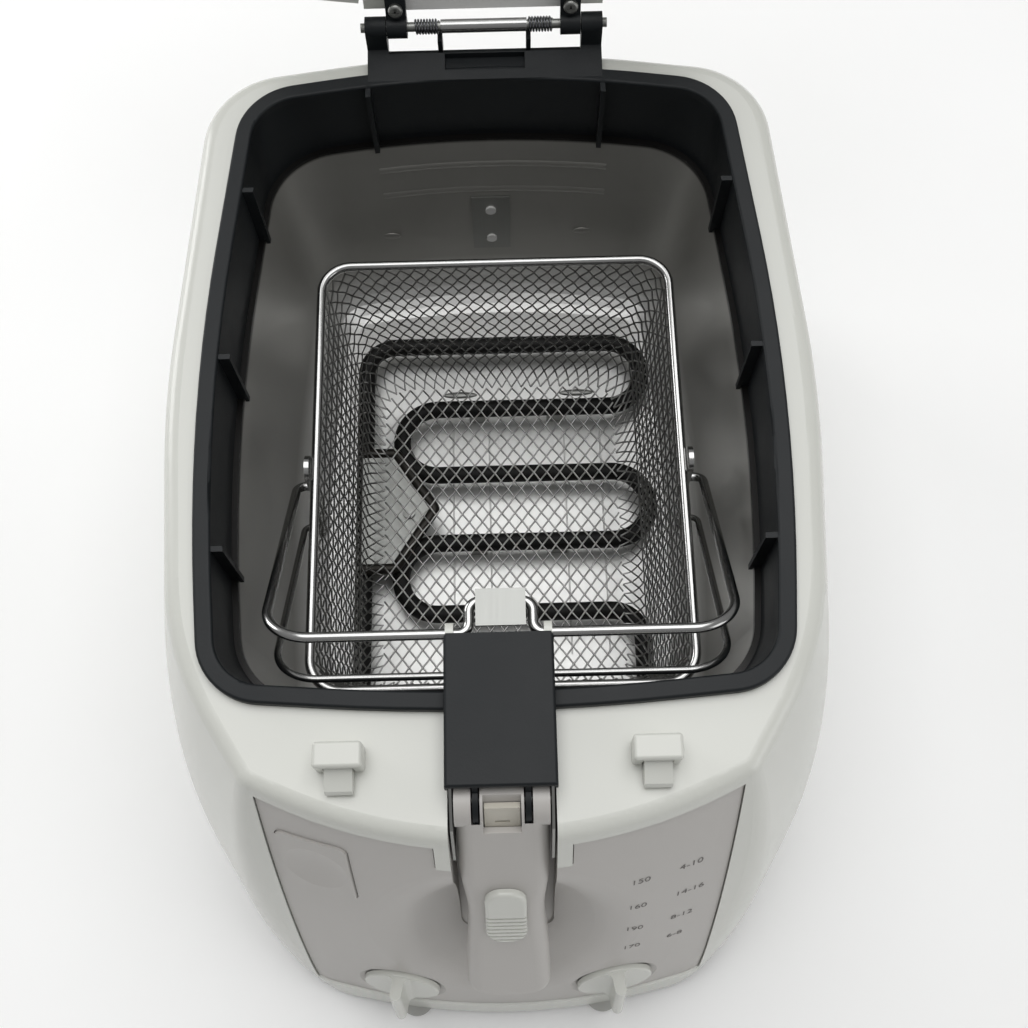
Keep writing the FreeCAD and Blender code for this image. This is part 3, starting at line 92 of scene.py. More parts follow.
table_half_width = 3.0
table = bpy.data.objects.new("table_top", bpy.data.meshes.new("table_top"))
shape = bmesh.new()
bmesh.ops.create_grid(shape, x_segments=2, y_segments=2, size=table_half_width)
shape.to_mesh(table.data)
shape.free()
bpy.context.scene.collection.objects.link(table)
laminate, shader = new_material("white table laminate")
place = add_node(laminate, "ShaderNodeTexCoord")
# clouds about 170 mm wide
cloud = add_node(laminate, "ShaderNodeTexNoise", {"Vector": place.outputs["Object"], "Scale": 6.0})
tint = add_node(laminate, "ShaderNodeMix",
                {"Factor": cloud.outputs["Fac"], "A": hex_colour("#f7f7f6"), "B": hex_colour("#fbfbfb")},
                data_type="RGBA")
plug(laminate, shader, {"Base Color": tint.outputs["Result"], "Roughness": 0.75, "IOR": 1.45})
table.data.materials.append(laminate)

horizon_light = 0.24
zenith_light = 0.4
world = bpy.data.worlds.new("studio")
bpy.context.scene.world = world
world.use_nodes = True
sky_way = add_node(world, "ShaderNodeTexCoord")
sky_height = add_node(world, "ShaderNodeSeparateXYZ", {"Vector": sky_way.outputs["Generated"]})
sky_fade = add_node(world, "ShaderNodeMapRange",
                    {"Value": sky_height.outputs["Z"], "From Min": 0.0, "From Max": 1.0,
                     "To Min": horizon_light, "To Max": zenith_light})
plug(world, world.node_tree.nodes["Background"], {"Color": sky_fade.outputs["Result"]})
bpy.context.scene.view_settings.view_transform = "Standard"


def soft_light(name, position, target, size, power):
    """Square soft light that points at a target."""
    light = bpy.data.objects.new(name, bpy.data.lights.new(name, "AREA"))
    light.data.size = size
    light.data.energy = power
    aim = (Vector(target) - Vector(position)).to_track_quat("-Z", "Y")
    light.matrix_world = Matrix.Translation(position) @ aim.to_matrix().to_4x4()
    bpy.context.scene.collection.objects.link(light)


soft_light("ceiling_light", (0.05, 0.65, 2.5), (0.0, 0.0, 0.0), 2.4, 46.0)
soft_light("right_light", (1.2, -0.7, 0.5), (0.12, -0.2, 0.1), 0.7, 2.5)
soft_light("left_light", (-1.3, 0.75, 0.55), (-0.12, 0.1, 0.14), 0.7, 7.0)

# Outer housing, lid shell, latches, knobs and slider: moulded glossy white ABS. The mould was
# polished, so the skin has a soft shine, a faint waviness about 70 mm wide and a warm cast.
white_abs, shader = new_material("polished white ABS")
place = add_node(white_abs, "ShaderNodeTexCoord")
wave = add_node(white_abs, "ShaderNodeTexNoise",
                {"Vector": place.outputs["Object"], "Scale": 14.0, "Detail": 3.0})
tint = add_node(white_abs, "ShaderNodeMix",
                {"Factor": wave.outputs["Fac"], "A": hex_colour("#cbccc5"), "B": hex_colour("#d1d2cc")},
                data_type="RGBA")
gloss = add_node(white_abs, "ShaderNodeMapRange",
                 {"Value": wave.outputs["Fac"], "To Min": 0.2, "To Max": 0.3})
# the real peel of the skin is about 0.3 mm wide; it is drawn at about 1.2 mm to show
peel = add_node(white_abs, "ShaderNodeTexNoise",
                {"Vector": place.outputs["Object"], "Scale": 800.0, "Detail": 2.0})
bump = add_node(white_abs, "ShaderNodeBump",
                {"Height": peel.outputs["Fac"], "Strength": 0.035, "Distance": 0.0004})
plug(white_abs, shader, {"Base Color": tint.outputs["Result"], "Roughness": gloss.outputs["Result"],
                         "Normal": bump.outputs["Normal"], "IOR": 1.53})


def dress(material, *names):
    """Give finished pieces a material."""
    for name in names:
        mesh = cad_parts[name].data
        mesh.materials.clear()
        mesh.materials.append(material)


dress(white_abs, "outer_housing", "slider_button",
      "latch_housing_left", "latch_housing_right", "latch_tongue_left", "latch_tongue_right",
      "lid_shell", "filter_cover", "lid_catches", "timer_knob", "thermostat_knob", "arm_bushes")

# Front panel, both halves of the handle and the liner of the handle's slot: the same white ABS in a finer
# satin, painted greyer than the housing as painted shade, where these faces turn away from the overhead
# light. The panel is a second moulding that clips into the housing.
shaded_satin_abs, shader = new_material("satin ABS with painted shade")
place = add_node(shaded_satin_abs, "ShaderNodeTexCoord")
# waves about 90 mm wide
wave = add_node(shaded_satin_abs, "ShaderNodeTexNoise",
                {"Vector": place.outputs["Object"], "Scale": 11.0, "Detail": 3.0})
# both shades are painted shade: the white ABS drawn grey where it turns away from the light
tint = add_node(shaded_satin_abs, "ShaderNodeMix",
                {"Factor": wave.outputs["Fac"], "A": hex_colour("#b3b0ac"), "B": hex_colour("#bab7b3")},
                data_type="RGBA")
gloss = add_node(shaded_satin_abs, "ShaderNodeMapRange",
                 {"Value": wave.outputs["Fac"], "To Min": 0.34, "To Max": 0.45})
# fine spark-eroded grain, about 0.2 mm on the real panel, drawn at about 1 mm to show
grain = add_node(shaded_satin_abs, "ShaderNodeTexNoise", {"Vector": place.outputs["Object"], "Scale": 1000.0})
bump = add_node(shaded_satin_abs, "ShaderNodeBump",
                {"Height": grain.outputs["Fac"], "Strength": 0.05, "Distance": 0.0003})
plug(shaded_satin_abs, shader, {"Base Color": tint.outputs["Result"], "Roughness": gloss.outputs["Result"],
                         "Normal": bump.outputs["Normal"], "IOR": 1.53})
dress(shaded_satin_abs, "front_panel", "handle_cradle", "handle_grip", "handle_back")

# Lid release button: cut out of the panel's own form and moulded in the same satin ABS, with the same
# painted shade. A shallow thumb dish, part of a large sphere, runs smooth over its middle.
dish_middle = Vector((-0.092098, -0.259666, 0.180852))
dish_radius = 0.07
dish_slack = 0.00002
button_face = bpy.data.objects.new("release_button_face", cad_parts["release_button"].data.copy())
bpy.context.scene.collection.objects.link(button_face)
skin = button_face.data
shading = [Vector(corner.vector) for corner in skin.corner_normals]
dished = {v.index for v in skin.vertices if (v.co - dish_middle).length < dish_radius + dish_slack}
for i in dished:
    skin.vertices[i].co = dish_middle + (skin.vertices[i].co - dish_middle).normalized() * dish_radius
for face in skin.polygons:
    if dished.issuperset(face.vertices):
        for i in face.loop_indices:
            shading[i] = (dish_middle - skin.vertices[skin.loops[i].vertex_index].co).normalized()
skin.normals_split_custom_set(shading)
skin.materials.clear()
skin.materials.append(shaded_satin_abs)
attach(button_face, "release_button")
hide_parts("release_button")

# Rim collar with its hinge bracket, handle block, hinge arms, base and electrical bodies: black
# heat-proof PBT, moulded with a fine matt grain and a few pale smears about 45 mm wide.
black_pbt, shader = new_material("grained black PBT")
place = add_node(black_pbt, "ShaderNodeTexCoord")
smear = add_node(black_pbt, "ShaderNodeTexNoise",
                 {"Vector": place.outputs["Object"], "Scale": 22.0, "Detail": 6.0, "Roughness": 0.65})
tint = add_node(black_pbt, "ShaderNodeMix",
                {"Factor": smear.outputs["Fac"], "A": hex_colour("#0f1214"), "B": hex_colour("#181c1f")},
                data_type="RGBA")
gloss = add_node(black_pbt, "ShaderNodeMapRange",
                 {"Value": smear.outputs["Fac"], "To Min": 0.4, "To Max": 0.6})
# grain of about 0.3 mm, drawn at about 1.1 mm to show
grain = add_node(black_pbt, "ShaderNodeTexNoise",
                 {"Vector": place.outputs["Object"], "Scale": 900.0, "Detail": 3.0})
bump = add_node(black_pbt, "ShaderNodeBump",
                {"Height": grain.outputs["Fac"], "Strength": 0.12, "Distance": 0.0004})
plug(black_pbt, shader, {"Base Color": tint.outputs["Result"], "Roughness": gloss.outputs["Result"],
                         "Normal": bump.outputs["Normal"], "IOR": 1.55, "Specular IOR Level": 0.25})
dress(black_pbt, "rim_collar", "handle_block", "lid_hinge_arms", "base_plate", "timer_unit",
      "thermostat_unit", "terminal_block", "cord_gland", "latch_link", "heater_bushings")

# Oil pot: drawn steel with a satin coat, grey and softly shining, with faint vertical draw marks
# and a cloudy sheen, about 55 mm wide, where oil has dried.
pot_low, pot_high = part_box("oil_pot")
pot_steel, shader = new_material("satin drawn steel")
place = add_node(pot_steel, "ShaderNodeTexCoord")
cloud = add_node(pot_steel, "ShaderNodeTexNoise",
                 {"Vector": place.outputs["Object"], "Scale": 18.0, "Detail": 5.0, "Roughness": 0.6})
tint = add_node(pot_steel, "ShaderNodeMix",
                {"Factor": cloud.outputs["Fac"], "A": hex_colour("#93928d"), "B": hex_colour("#a1a09c")},
                data_type="RGBA")
height = add_node(pot_steel, "ShaderNodeSeparateXYZ", {"Vector": place.outputs["Object"]})
# painted light: the floor and the round above it are painted brighter than the walls, where they face the
# overhead lamp, with a painted highlight along the round
floor_light_edge = pot_low.z + 0.03
floor_light_full = pot_low.z + 0.006
floor_light = add_node(pot_steel, "ShaderNodeMapRange",
                 {"Value": height.outputs["Z"], "From Min": floor_light_edge, "From Max": floor_light_full})
floor_lit = add_node(pot_steel, "ShaderNodeMix",
                   {"Factor": floor_light.outputs["Result"], "A": tint.outputs["Result"],
                    "B": hex_colour("#e6e6e4")}, data_type="RGBA")
# painted shade: a dark band is painted round the pot's lip, under the collar, where the collar shadows it
collar_shade_edge = pot_high.z - 0.003
collar_shade_full = pot_high.z - 0.0012
collar_shade = add_node(pot_steel, "ShaderNodeMapRange",
               {"Value": height.outputs["Z"], "From Min": collar_shade_edge, "From Max": collar_shade_full})
lip_shaded = add_node(pot_steel, "ShaderNodeMix",
                 {"Factor": collar_shade.outputs["Result"], "A": floor_lit.outputs["Result"],
                  "B": hex_colour("#161514")}, data_type="RGBA")
gloss = add_node(pot_steel, "ShaderNodeMapRange",
                 {"Value": cloud.outputs["Fac"], "To Min": 0.28, "To Max": 0.38})
# draw marks about 0.4 mm wide, drawn at about 1.4 mm to show, and stretched upwards
squeeze = add_node(pot_steel, "ShaderNodeMapping",
                   {"Vector": place.outputs["Object"], "Scale": (1.0, 1.0, 0.06)})
streak = add_node(pot_steel, "ShaderNodeTexNoise", {"Vector": squeeze.outputs["Vector"], "Scale": 700.0})
bump = add_node(pot_steel, "ShaderNodeBump",
                {"Height": streak.outputs["Fac"], "Strength": 0.06, "Distance": 0.0003})
plug(pot_steel, shader, {"Base Color": lip_shaded.outputs["Result"], "Roughness": gloss.outputs["Result"],
                         "Normal": bump.outputs["Normal"], "Metallic": 0.5})
dress(pot_steel, "oil_pot")

# Heating element: steel tube with a baked black oxide skin, mottled in spots of about 6 mm, dull
# with a narrow shine along its top.
oxide_tube, shader = new_material("black oxide tube")
place = add_node(oxide_tube, "ShaderNodeTexCoord")
mottle = add_node(oxide_tube, "ShaderNodeTexNoise",
                  {"Vector": place.outputs["Object"], "Scale": 160.0, "Detail": 5.0})
tint = add_node(oxide_tube, "ShaderNodeMix",
                {"Factor": mottle.outputs["Fac"], "A": hex_colour("#0b0b0b"), "B": hex_colour("#161513")},
                data_type="RGBA")
gloss = add_node(oxide_tube, "ShaderNodeMapRange",
                 {"Value": mottle.outputs["Fac"], "To Min": 0.5, "To Max": 0.7})
bump = add_node(oxide_tube, "ShaderNodeBump",
                {"Height": mottle.outputs["Fac"], "Strength": 0.12, "Distance": 0.0004})
plug(oxide_tube, shader, {"Base Color": tint.outputs["Result"], "Roughness": gloss.outputs["Result"],
                          "Normal": bump.outputs["Normal"], "Specular IOR Level": 0.3})
dress(oxide_tube, "heater_element")

# Steel fittings: sensor guard, level plate, carrier frame, crank tab, pins, screws and stand-offs,
# cut from cold-rolled strip, with rolling lines about 1 mm apart and a dull shine.
strip_steel, shader = new_material("cold-rolled strip steel")
place = add_node(strip_steel, "ShaderNodeTexCoord")
squeeze = add_node(strip_steel, "ShaderNodeMapping",
                   {"Vector": place.outputs["Object"], "Scale": (1.0, 0.05, 0.05)})
lines = add_node(strip_steel, "ShaderNodeTexNoise",
                 {"Vector": squeeze.outputs["Vector"], "Scale": 900.0, "Detail": 2.0})
tint = add_node(strip_steel, "ShaderNodeMix",
                {"Factor": lines.outputs["Fac"], "A": hex_colour("#939491"), "B": hex_colour("#9c9d9a")},
                data_type="RGBA")
gloss = add_node(strip_steel, "ShaderNodeMapRange",
                 {"Value": lines.outputs["Fac"], "To Min": 0.38, "To Max": 0.5})
bump = add_node(strip_steel, "ShaderNodeBump",
                {"Height": lines.outputs["Fac"], "Strength": 0.03, "Distance": 0.0002})
plug(strip_steel, shader, {"Base Color": tint.outputs["Result"], "Roughness": gloss.outputs["Result"],
                           "Normal": bump.outputs["Normal"], "Metallic": 1.0})
dress(strip_steel, "sensor_guard", "sensor_guard_screw", "carrier_frame", "crank_tab", "heater_clips",
      "pot_standoffs", "base_screws", "lid_screws", "handle_screws", "handle_pin", "thermal_cutout",
      "hinge_pin", "level_plate")

# Basket rim, hangers, arms and the hinge sleeve: drawn steel wire, bright chrome plated, with
# slight unevenness in the plating, about 3 mm wide.
chrome, shader = new_material("bright chrome plate")
place = add_node(chrome, "ShaderNodeTexCoord")
cloud = add_node(chrome, "ShaderNodeTexNoise",
                 {"Vector": place.outputs["Object"], "Scale": 300.0, "Detail": 3.0})
gloss = add_node(chrome, "ShaderNodeMapRange",
                 {"Value": cloud.outputs["Fac"], "To Min": 0.14, "To Max": 0.26})
bump = add_node(chrome, "ShaderNodeBump",
                {"Height": cloud.outputs["Fac"], "Strength": 0.05, "Distance": 0.0002})
plug(chrome, shader, {"Base Color": hex_colour("#adadac"), "Roughness": gloss.outputs["Result"],
                      "Normal": bump.outputs["Normal"], "Metallic": 1.0})
dress(chrome, "basket_rim", "basket_hangers", "arm_upper", "arm_lower", "hinge_sleeve")

# Basket cloth: one sheet of woven wire, pressed into a tub. Two sets of thin wires run slantwise
# and pass over and under each other, so each wire waves by half its thickness.
wire_radius = 0.00042
wave_height = 0.00042
cell_width = 0.0064
cell_height = 0.0084
plain_wire, shader = new_material("bright drawn wire")
place = add_node(plain_wire, "ShaderNodeTexCoord")
# drawn wire dulls in patches of about 4 mm
cloud = add_node(plain_wire, "ShaderNodeTexNoise",
                 {"Vector": place.outputs["Object"], "Scale": 250.0, "Detail": 3.0})
tint = add_node(plain_wire, "ShaderNodeMix",
                {"Factor": cloud.outputs["Fac"], "A": hex_colour("#858583"), "B": hex_colour("#b0b0ae")},
                data_type="RGBA")
plug(plain_wire, shader, {"Base Color": tint.outputs["Result"], "Metallic": 1.0, "Roughness": 0.3})
low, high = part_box("basket_rim")
rim_wire = 0.002
tub_middle = (low + high) / 2
tub_half_width = (high.x - low.x) / 2 - rim_wire
tub_half_length = (high.y - low.y) / 2 - rim_wire
tub_corner = 0.013
tub_top = tub_middle.z - rim_wire / 2
cloth_half_thickness = 0.0008
tub_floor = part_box("basket_mesh")[0].z + cloth_half_thickness
floor_round = 0.009
wall_inset = 0.009


def tub_outline(share, inset):
    """Point of the tub's rounded outline at a share of its way round, and the outward direction."""
    a, b, r = tub_half_width - inset, tub_half_length - inset, tub_corner
    sides = [2 * (b - r), 2 * (a - r), 2 * (b - r), 2 * (a - r)]
    arc = math.pi * r / 2
    walk = (share % 1.0) * (sum(sides) + 4 * arc)
    corners = [(a - r, b - r), (r - a, b - r), (r - a, r - b), (a - r, r - b)]
    for side in range(4):
        out = Vector((math.cos(side * math.pi / 2), math.sin(side * math.pi / 2)))
        along = Vector((-out.y, out.x))
        corner = Vector(corners[side])
        if walk <= sides[side]:
            return corner + out * r - along * (sides[side] - walk), out
        walk -= sides[side]
        if walk <= arc:
            angle = side * math.pi / 2 + walk / r
            out = Vector((math.cos(angle), math.sin(angle)))
            return corner + out * r, out
        walk -= arc
    return Vector((a, r - b)), Vector((1.0, 0.0))


wall_height = tub_top - tub_floor - floor_round
wall_lean = math.atan2(wall_inset, wall_height)
wall_length = math.hypot(wall_inset, wall_height)
profile_length = wall_length + floor_round * (math.pi / 2 - wall_lean)


def tub_point(share, depth, lift):
    """Point of the tub's wall at a length down its profile, lifted off the cloth's middle."""
    if depth <= wall_length:
        inset = rim_wire + depth * math.sin(wall_lean)
        z = tub_top - depth * math.cos(wall_lean)
        tilt = wall_lean
    else:
        tilt = wall_lean + (depth - wall_length) / floor_round
        inset = rim_wire + wall_inset + floor_round * (math.cos(wall_lean) - math.cos(tilt))
        z = tub_floor + floor_round * (1 - math.sin(tilt))
    spot, out = tub_outline(share, inset)
    return Vector((tub_middle.x + spot.x + out.x * math.cos(tilt) * lift,
                   tub_middle.y + spot.y + out.y * math.cos(tilt) * lift,
                   z - math.sin(tilt) * lift))


columns = round(4 * (tub_half_width + tub_half_length - wall_inset / 2) / cell_width)
steps = 2 * round(profile_length / cell_height)
threads = []
for column in range(columns):
    for slant in (-1, 1):
        thread = []
        for step in range(steps + 1):
            lift = wave_height * (1 if step % 2 == 0 else -1) * slant
            share = (column + slant * step / 2) / columns
            thread.append(tub_point(share, profile_length * step / steps, lift))
        threads.append(thread)

floor_inset = rim_wire + wall_inset + floor_round * math.cos(wall_lean)
floor_half_width = tub_half_width - floor_inset
floor_half_length = tub_half_length - floor_inset
floor_slack = 0.0005


def on_floor(x, y):
    """Whether a point lies on the tub's flat floor with its rounded corners."""
    dx = max(abs(x) - floor_half_width + tub_corner, 0.0)
    dy = max(abs(y) - floor_half_length + tub_corner, 0.0)
    return math.hypot(dx, dy) <= tub_corner + floor_slack


# a floor thread is followed in quarter cells, and every second point of it is kept
floor_rows = int(floor_half_length / cell_height + floor_half_width / cell_width) + 2
shortest_thread = 6
for slant in (-1, 1):
    for row in range(-floor_rows, floor_rows + 1):
        thread = []
        for quarter in range(-16 * floor_rows, 16 * floor_rows + 1):
            step = quarter / 4
            x = slant * step * cell_width / 2
            y = row * cell_height + step * cell_height / 2
            if on_floor(x, y):
                lift = wave_height * math.cos(math.pi * step) * slant
                thread.append(Vector((tub_middle.x + x, tub_middle.y + y, tub_floor + lift)))
        if len(thread) >= shortest_thread:
            ends = [0, len(thread) - 1]
            threads.append([spot for i, spot in enumerate(thread) if i % 2 == 0 or i in ends])


def wire_mesh(name, paths, radius, sides, material, smooth_paths=False):
    """Mesh of round wires along paths."""
    curve = bpy.data.curves.new(name, "CURVE")
    curve.dimensions = "3D"
    curve.bevel_depth = radius
    curve.bevel_resolution = sides
    curve.use_fill_caps = True
    for path in paths:
        spline = curve.splines.new("NURBS" if smooth_paths else "POLY")
        spline.points.add(len(path) - 1)
        for point, spot in zip(spline.points, path):
            point.co = (spot.x, spot.y, spot.z, 1.0)
        if smooth_paths:
            spline.use_endpoint_u = True
            spline.order_u = 3
            spline.resolution_u = 4
    drawn = bpy.data.objects.new(name, curve)
    bpy.context.scene.collection.objects.link(drawn)
    bpy.context.view_layer.update()
    mesh = bpy.data.meshes.new_from_object(drawn.evaluated_get(bpy.context.evaluated_depsgraph_get()))
    bpy.data.objects.remove(drawn)
    bpy.data.curves.remove(curve)
    for face in mesh.polygons:
        face.use_smooth = True
    mesh.materials.clear()
    mesh.materials.append(material)
    made = bpy.data.objects.new(name, mesh)
    bpy.context.scene.collection.objects.link(made)
    return made


basket_cloth = wire_mesh("basket_cloth", threads, wire_radius, 0, plain_wire)
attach(basket_cloth, "basket")
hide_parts("basket_mesh")

# Torsion springs round the hinge pin: blued spring wire, close wound, one on each side of the
# bright sleeve, with a blueing that changes in spots of about 2.5 mm.
blued_wire, shader = new_material("blued spring wire")
place = add_node(blued_wire, "ShaderNodeTexCoord")
cloud = add_node(blued_wire, "ShaderNodeTexNoise", {"Vector": place.outputs["Object"], "Scale": 400.0})
tint = add_node(blued_wire, "ShaderNodeMix",
                {"Factor": cloud.outputs["Fac"], "A": hex_colour("#55565a"), "B": hex_colour("#7a7b7e")},
                data_type="RGBA")
plug(blued_wire, shader, {"Base Color": tint.outputs["Result"], "Metallic": 1.0, "Roughness": 0.28})
coil_turns = 8
points_per_turn = 12
coil_wire = 0.0005
coil_points = coil_turns * points_per_turn
for name in ("hinge_spring_left", "hinge_spring_right"):
    low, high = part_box(name)
    middle = (low + high) / 2
    coil_radius = (high.z - low.z) / 2 - coil_wire
    length = high.x - low.x - 2 * coil_wire
    points = []
    for step in range(coil_points + 1):
        angle = step * 2 * math.pi / points_per_turn
        points.append(Vector((low.x + coil_wire + length * step / coil_points,
                              middle.y + coil_radius * math.cos(angle),
                              middle.z + coil_radius * math.sin(angle))))
    coil = wire_mesh(name + "_coil", [points], coil_wire, 1, blued_wire, True)
    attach(coil, "housing")
    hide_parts(name)

# Lid liner and the rivets of the pot's plate: pressed aluminium, smooth and pale grey, with a soft
# shine in clouds about 40 mm wide.
pale_aluminium, shader = new_material("pale pressed aluminium")
place = add_node(pale_aluminium, "ShaderNodeTexCoord")
cloud = add_node(pale_aluminium, "ShaderNodeTexNoise",
                 {"Vector": place.outputs["Object"], "Scale": 25.0, "Detail": 4.0})
tint = add_node(pale_aluminium, "ShaderNodeMix",
                {"Factor": cloud.outputs["Fac"], "A": hex_colour("#e4e4e2"), "B": hex_colour("#ececea")},
                data_type="RGBA")
gloss = add_node(pale_aluminium, "ShaderNodeMapRange",
                 {"Value": cloud.outputs["Fac"], "To Min": 0.2, "To Max": 0.3})
plug(pale_aluminium, shader, {"Base Color": tint.outputs["Result"], "Roughness": gloss.outputs["Result"],
                              "Metallic": 0.2})
dress(pale_aluminium, "lid_liner", "level_plate_rivets")

# Lid gasket: a lip of black silicone rubber, fitted round the liner's edge, dull, with a dusty
# grey bloom in spots of about 11 mm.
rubber, shader = new_material("black rubber")
place = add_node(rubber, "ShaderNodeTexCoord")
bloom = add_node(rubber, "ShaderNodeTexNoise",
                 {"Vector": place.outputs["Object"], "Scale": 90.0, "Detail": 5.0})
tint = add_node(rubber, "ShaderNodeMix",
                {"Factor": bloom.outputs["Fac"], "A": hex_colour("#1a1a1a"), "B": hex_colour("#2c2c2b")},
                data_type="RGBA")
bump = add_node(rubber, "ShaderNodeBump",
                {"Height": bloom.outputs["Fac"], "Strength": 0.1, "Distance": 0.0004})
plug(rubber, shader, {"Base Color": tint.outputs["Result"], "Normal": bump.outputs["Normal"],
                      "Roughness": 0.8})
dress(rubber, "lid_gasket")

# Feet: four pale grey rubber buttons, fixed under the base plate, dull, with a dusty bloom in
# spots of about 11 mm.
pale_rubber, shader = new_material("pale grey rubber")
place = add_node(pale_rubber, "ShaderNodeTexCoord")
bloom = add_node(pale_rubber, "ShaderNodeTexNoise",
                 {"Vector": place.outputs["Object"], "Scale": 90.0, "Detail": 5.0})
tint = add_node(pale_rubber, "ShaderNodeMix",
                {"Factor": bloom.outputs["Fac"], "A": hex_colour("#9d9d9a"), "B": hex_colour("#b0b0ac")},
                data_type="RGBA")
plug(pale_rubber, shader, {"Base Color": tint.outputs["Result"], "Roughness": 0.75})
dress(pale_rubber, "feet")

# Lock bolt of the handle: moulded beige acetal, waxy, clouded in spots of about 8 mm, and moved
# by the slider.
acetal, shader = new_material("beige acetal")
place = add_node(acetal, "ShaderNodeTexCoord")
cloud = add_node(acetal, "ShaderNodeTexNoise", {"Vector": place.outputs["Object"], "Scale": 120.0})
tint = add_node(acetal, "ShaderNodeMix",
                {"Factor": cloud.outputs["Fac"], "A": hex_colour("#bcb8ac"), "B": hex_colour("#c6c2b7")},
                data_type="RGBA")
plug(acetal, shader, {"Base Color": tint.outputs["Result"], "Roughness": 0.4, "IOR": 1.48})
dress(acetal, "lock_bolt")

# Filter mat under the vent grille of the lid: loose grey fibre fleece, cut to size and laid in.
# Its fibres are finer than 0.1 mm and are drawn at about 1.4 mm to show.
fleece, shader = new_material("grey filter fleece")
place = add_node(fleece, "ShaderNodeTexCoord")
fibre = add_node(fleece, "ShaderNodeTexNoise",
                 {"Vector": place.outputs["Object"], "Scale": 700.0, "Detail": 6.0})
tint = add_node(fleece, "ShaderNodeMix",
                {"Factor": fibre.outputs["Fac"], "A": hex_colour("#3a3a38"), "B": hex_colour("#6c6b68")},
                data_type="RGBA")
bump = add_node(fleece, "ShaderNodeBump",
                {"Height": fibre.outputs["Fac"], "Strength": 0.6, "Distance": 0.001})
plug(fleece, shader, {"Base Color": tint.outputs["Result"], "Normal": bump.outputs["Normal"],
                      "Roughness": 0.95})
dress(fleece, "filter_mat")

# Pressed marks of the pot: two level lines and two dimples on its back wall, four thin lines and
# two small bumps on its floor. They are struck in the pot's own sheet.
pot_faces = BVHTree.FromObject(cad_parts["oil_pot"], bpy.context.evaluated_depsgraph_get())
backwards = Vector((0.0, 1.0, 0.0))
downwards = Vector((0.0, 0.0, -1.0))
ridge_radius = 0.004
ridge_sink = Vector((0.0, 0.0034, 0.0))
ridge_heights = (0.127, 0.145)
ridge_millimetres = range(-52, 57, 4)
ridges = []
for z in ridge_heights:
    spots = [pot_faces.ray_cast(Vector((x / 1000, 0.0, z)), backwards)[0] for x in ridge_millimetres]
    ridges.append([spot + ridge_sink for spot in spots])
pot_ridges = wire_mesh("pot_ridges", ridges, ridge_radius, 4, pot_steel)
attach(pot_ridges, "housing")

above_floor = 0.1
mark_radius = 0.0004
mark_places = (-0.0227, -0.0041, 0.0347, 0.0533)
mark_millimetres = range(-92, 29, 6)
marks = []
for x in mark_places:
    starts = [Vector((x, y / 1000, above_floor)) for y in mark_millimetres]
    marks.append([pot_faces.ray_cast(start, downwards)[0] for start in starts])
pot_lines = wire_mesh("pot_lines", marks, mark_radius, 0, pot_steel)
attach(pot_lines, "housing")

dimple_places = (-0.051, 0.046)
dimple_z = 0.096
dimple_half_sizes = (0.005, 0.0009, 0.0025, 1.0)
bump_places = (-0.019, 0.042)
bump_y = 0.049
bump_half_sizes = (0.009, 0.0019, 0.0011, 1.0)
dents = bpy.data.objects.new("pot_dents", bpy.data.meshes.new("pot_dents"))
shape = bmesh.new()
for x in dimple_places:
    spot = pot_faces.ray_cast(Vector((x, 0.0, dimple_z)), backwards)[0]
    lens = Matrix.Translation(spot) @ Matrix.Diagonal(dimple_half_sizes)
    bmesh.ops.create_uvsphere(shape, u_segments=24, v_segments=12, radius=1.0, matrix=lens)
for x in bump_places:
    spot = pot_faces.ray_cast(Vector((x, bump_y, above_floor)), downwards)[0]
    lens = Matrix.Translation(spot) @ Matrix.Diagonal(bump_half_sizes)
    made = bmesh.ops.create_uvsphere(shape, u_segments=24, v_segments=12, radius=1.0, matrix=lens)
    for face in {f for v in made["verts"] for f in v.link_faces}:
        face.material_index = 1
shape.to_mesh(dents.data)
shape.free()
for face in dents.data.polygons:
    face.use_smooth = True
bpy.context.scene.collection.objects.link(dents)
dents.data.materials.append(pot_steel)
dents.data.materials.append(strip_steel)
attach(dents, "housing")

# Sensor tube: a dark steel capillary, bent round the two slanting edges of the guard plate. It is
# browned by heat in spots of about 6 mm.
brown_steel, shader = new_material("browned steel tube")
place = add_node(brown_steel, "ShaderNodeTexCoord")
mottle = add_node(brown_steel, "ShaderNodeTexNoise",
                  {"Vector": place.outputs["Object"], "Scale": 180.0, "Detail": 4.0})
tint = add_node(brown_steel, "ShaderNodeMix",
                {"Factor": mottle.outputs["Fac"], "A": hex_colour("#211f1c"), "B": hex_colour("#3a3733")},
                data_type="RGBA")
plug(brown_steel, shader, {"Base Color": tint.outputs["Result"], "Roughness": 0.42, "Metallic": 0.6})
tube_radius = 0.0027
tube_gap = 0.0012
tube_sink = 0.001
tip_reach = 0.002
bend_start = 0.85
slope_shares = (0.1, 0.5, 0.9)
shoulder_x = -0.0505
low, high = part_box("sensor_guard")
tube_z = high.z - tube_sink
tip = Vector((high.x + tip_reach, (low.y + high.y) / 2, tube_z))
tube_path = []
for y in (high.y + tube_gap, low.y - tube_gap):
    end = Vector((low.x, y, tube_z))
    shoulder = Vector((shoulder_x, y, tube_z))
    slope = [shoulder.lerp(tip, share) for share in slope_shares]
    half = [end, end.lerp(shoulder, bend_start), shoulder] + slope
    tube_path += half + [tip] if not tube_path else half[::-1]
sensor_tube = wire_mesh("sensor_tube", [tube_path], tube_radius, 3, brown_steel, True)
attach(sensor_tube, "housing")
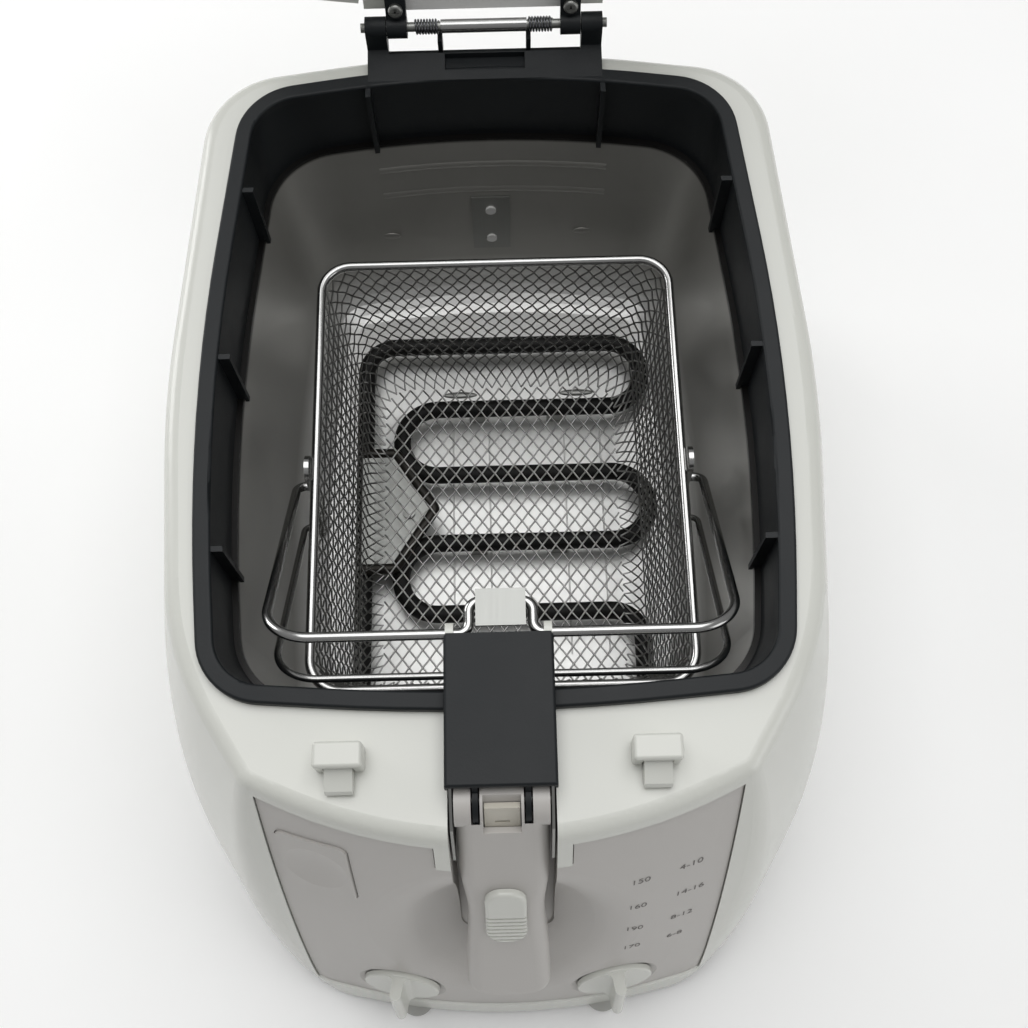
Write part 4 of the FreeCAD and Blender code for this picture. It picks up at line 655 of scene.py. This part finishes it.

# Cross recesses of the two lid screws, struck into their domed heads. Dark steel bars fill them as
# painted shade, the shadow at the bottom of each recess, mottled in spots of about 2 mm.
shadow_steel, shader = new_material("painted recess shade")
place = add_node(shadow_steel, "ShaderNodeTexCoord")
cloud = add_node(shadow_steel, "ShaderNodeTexNoise", {"Vector": place.outputs["Object"], "Scale": 600.0})
tint = add_node(shadow_steel, "ShaderNodeMix",
                {"Factor": cloud.outputs["Fac"], "A": hex_colour("#222222"), "B": hex_colour("#323231")},
                data_type="RGBA")
plug(shadow_steel, shader, {"Base Color": tint.outputs["Result"], "Roughness": 0.6, "Metallic": 1.0})
lid_tilt = Matrix.Rotation(math.radians(15.0), 4, "X")
head_radius = 0.0031
cross_depth = 0.0008
cross_bars = ((0.0036, 0.0006, 0.0007, 1.0), (0.0007, 0.0006, 0.0036, 1.0))
low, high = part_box("lid_screws")
crosses = bpy.data.objects.new("screw_crosses", bpy.data.meshes.new("screw_crosses"))
shape = bmesh.new()
for x in (low.x + head_radius, high.x - head_radius):
    middle = Matrix.Translation((x, low.y + cross_depth, (low.z + high.z) / 2)) @ lid_tilt
    for bar in cross_bars:
        bmesh.ops.create_cube(shape, size=1.0, matrix=middle @ Matrix.Diagonal(bar))
shape.to_mesh(crosses.data)
shape.free()
bpy.context.scene.collection.objects.link(crosses)
crosses.data.materials.append(shadow_steel)
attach(crosses, "lid")

# Printed rows on the panel: dark grey ink, pad-printed, with a temperature and a time in minutes
# in each row. The ink is worn in spots of about 1 mm.
ink, shader = new_material("grey print ink")
place = add_node(ink, "ShaderNodeTexCoord")
wear = add_node(ink, "ShaderNodeTexNoise",
                {"Vector": place.outputs["Object"], "Scale": 900.0, "Detail": 2.0})
tint = add_node(ink, "ShaderNodeMix",
                {"Factor": wear.outputs["Fac"], "A": hex_colour("#5e5a57"), "B": hex_colour("#6c6865")},
                data_type="RGBA")
plug(ink, shader, {"Base Color": tint.outputs["Result"], "Roughness": 0.55})
panel_faces = BVHTree.FromObject(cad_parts["front_panel"], bpy.context.evaluated_depsgraph_get())
before_panel = -0.5
ink_lift = Vector((0.0, -0.00012, 0.00004))
figure_height = 0.0052
heat_x = 0.049
minutes_x = 0.068
print_rows = [("150", "4-10", 0.148), ("160", "14-16", 0.126),
              ("190", "8-12", 0.104), ("170", "6-8", 0.084)]
numbers = bpy.data.objects.new("panel_numbers", bpy.data.meshes.new("panel_numbers"))
shape = bmesh.new()
for heat, minutes, z in print_rows:
    for text, x in ((heat, heat_x), (minutes, minutes_x)):
        curve = bpy.data.curves.new(text, "FONT")
        curve.body = text
        curve.size = figure_height
        drawn = bpy.data.objects.new(text, curve)
        bpy.context.scene.collection.objects.link(drawn)
        bpy.context.view_layer.update()
        flat = bpy.data.meshes.new_from_object(drawn.evaluated_get(bpy.context.evaluated_depsgraph_get()))
        bpy.data.objects.remove(drawn)
        for vertex in flat.vertices:
            start = Vector((x + vertex.co.x, before_panel, z + vertex.co.y))
            vertex.co = panel_faces.ray_cast(start, backwards)[0] + ink_lift
        shape.from_mesh(flat)
shape.to_mesh(numbers.data)
shape.free()
bpy.context.scene.collection.objects.link(numbers)
numbers.data.materials.append(ink)
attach(numbers, "housing")
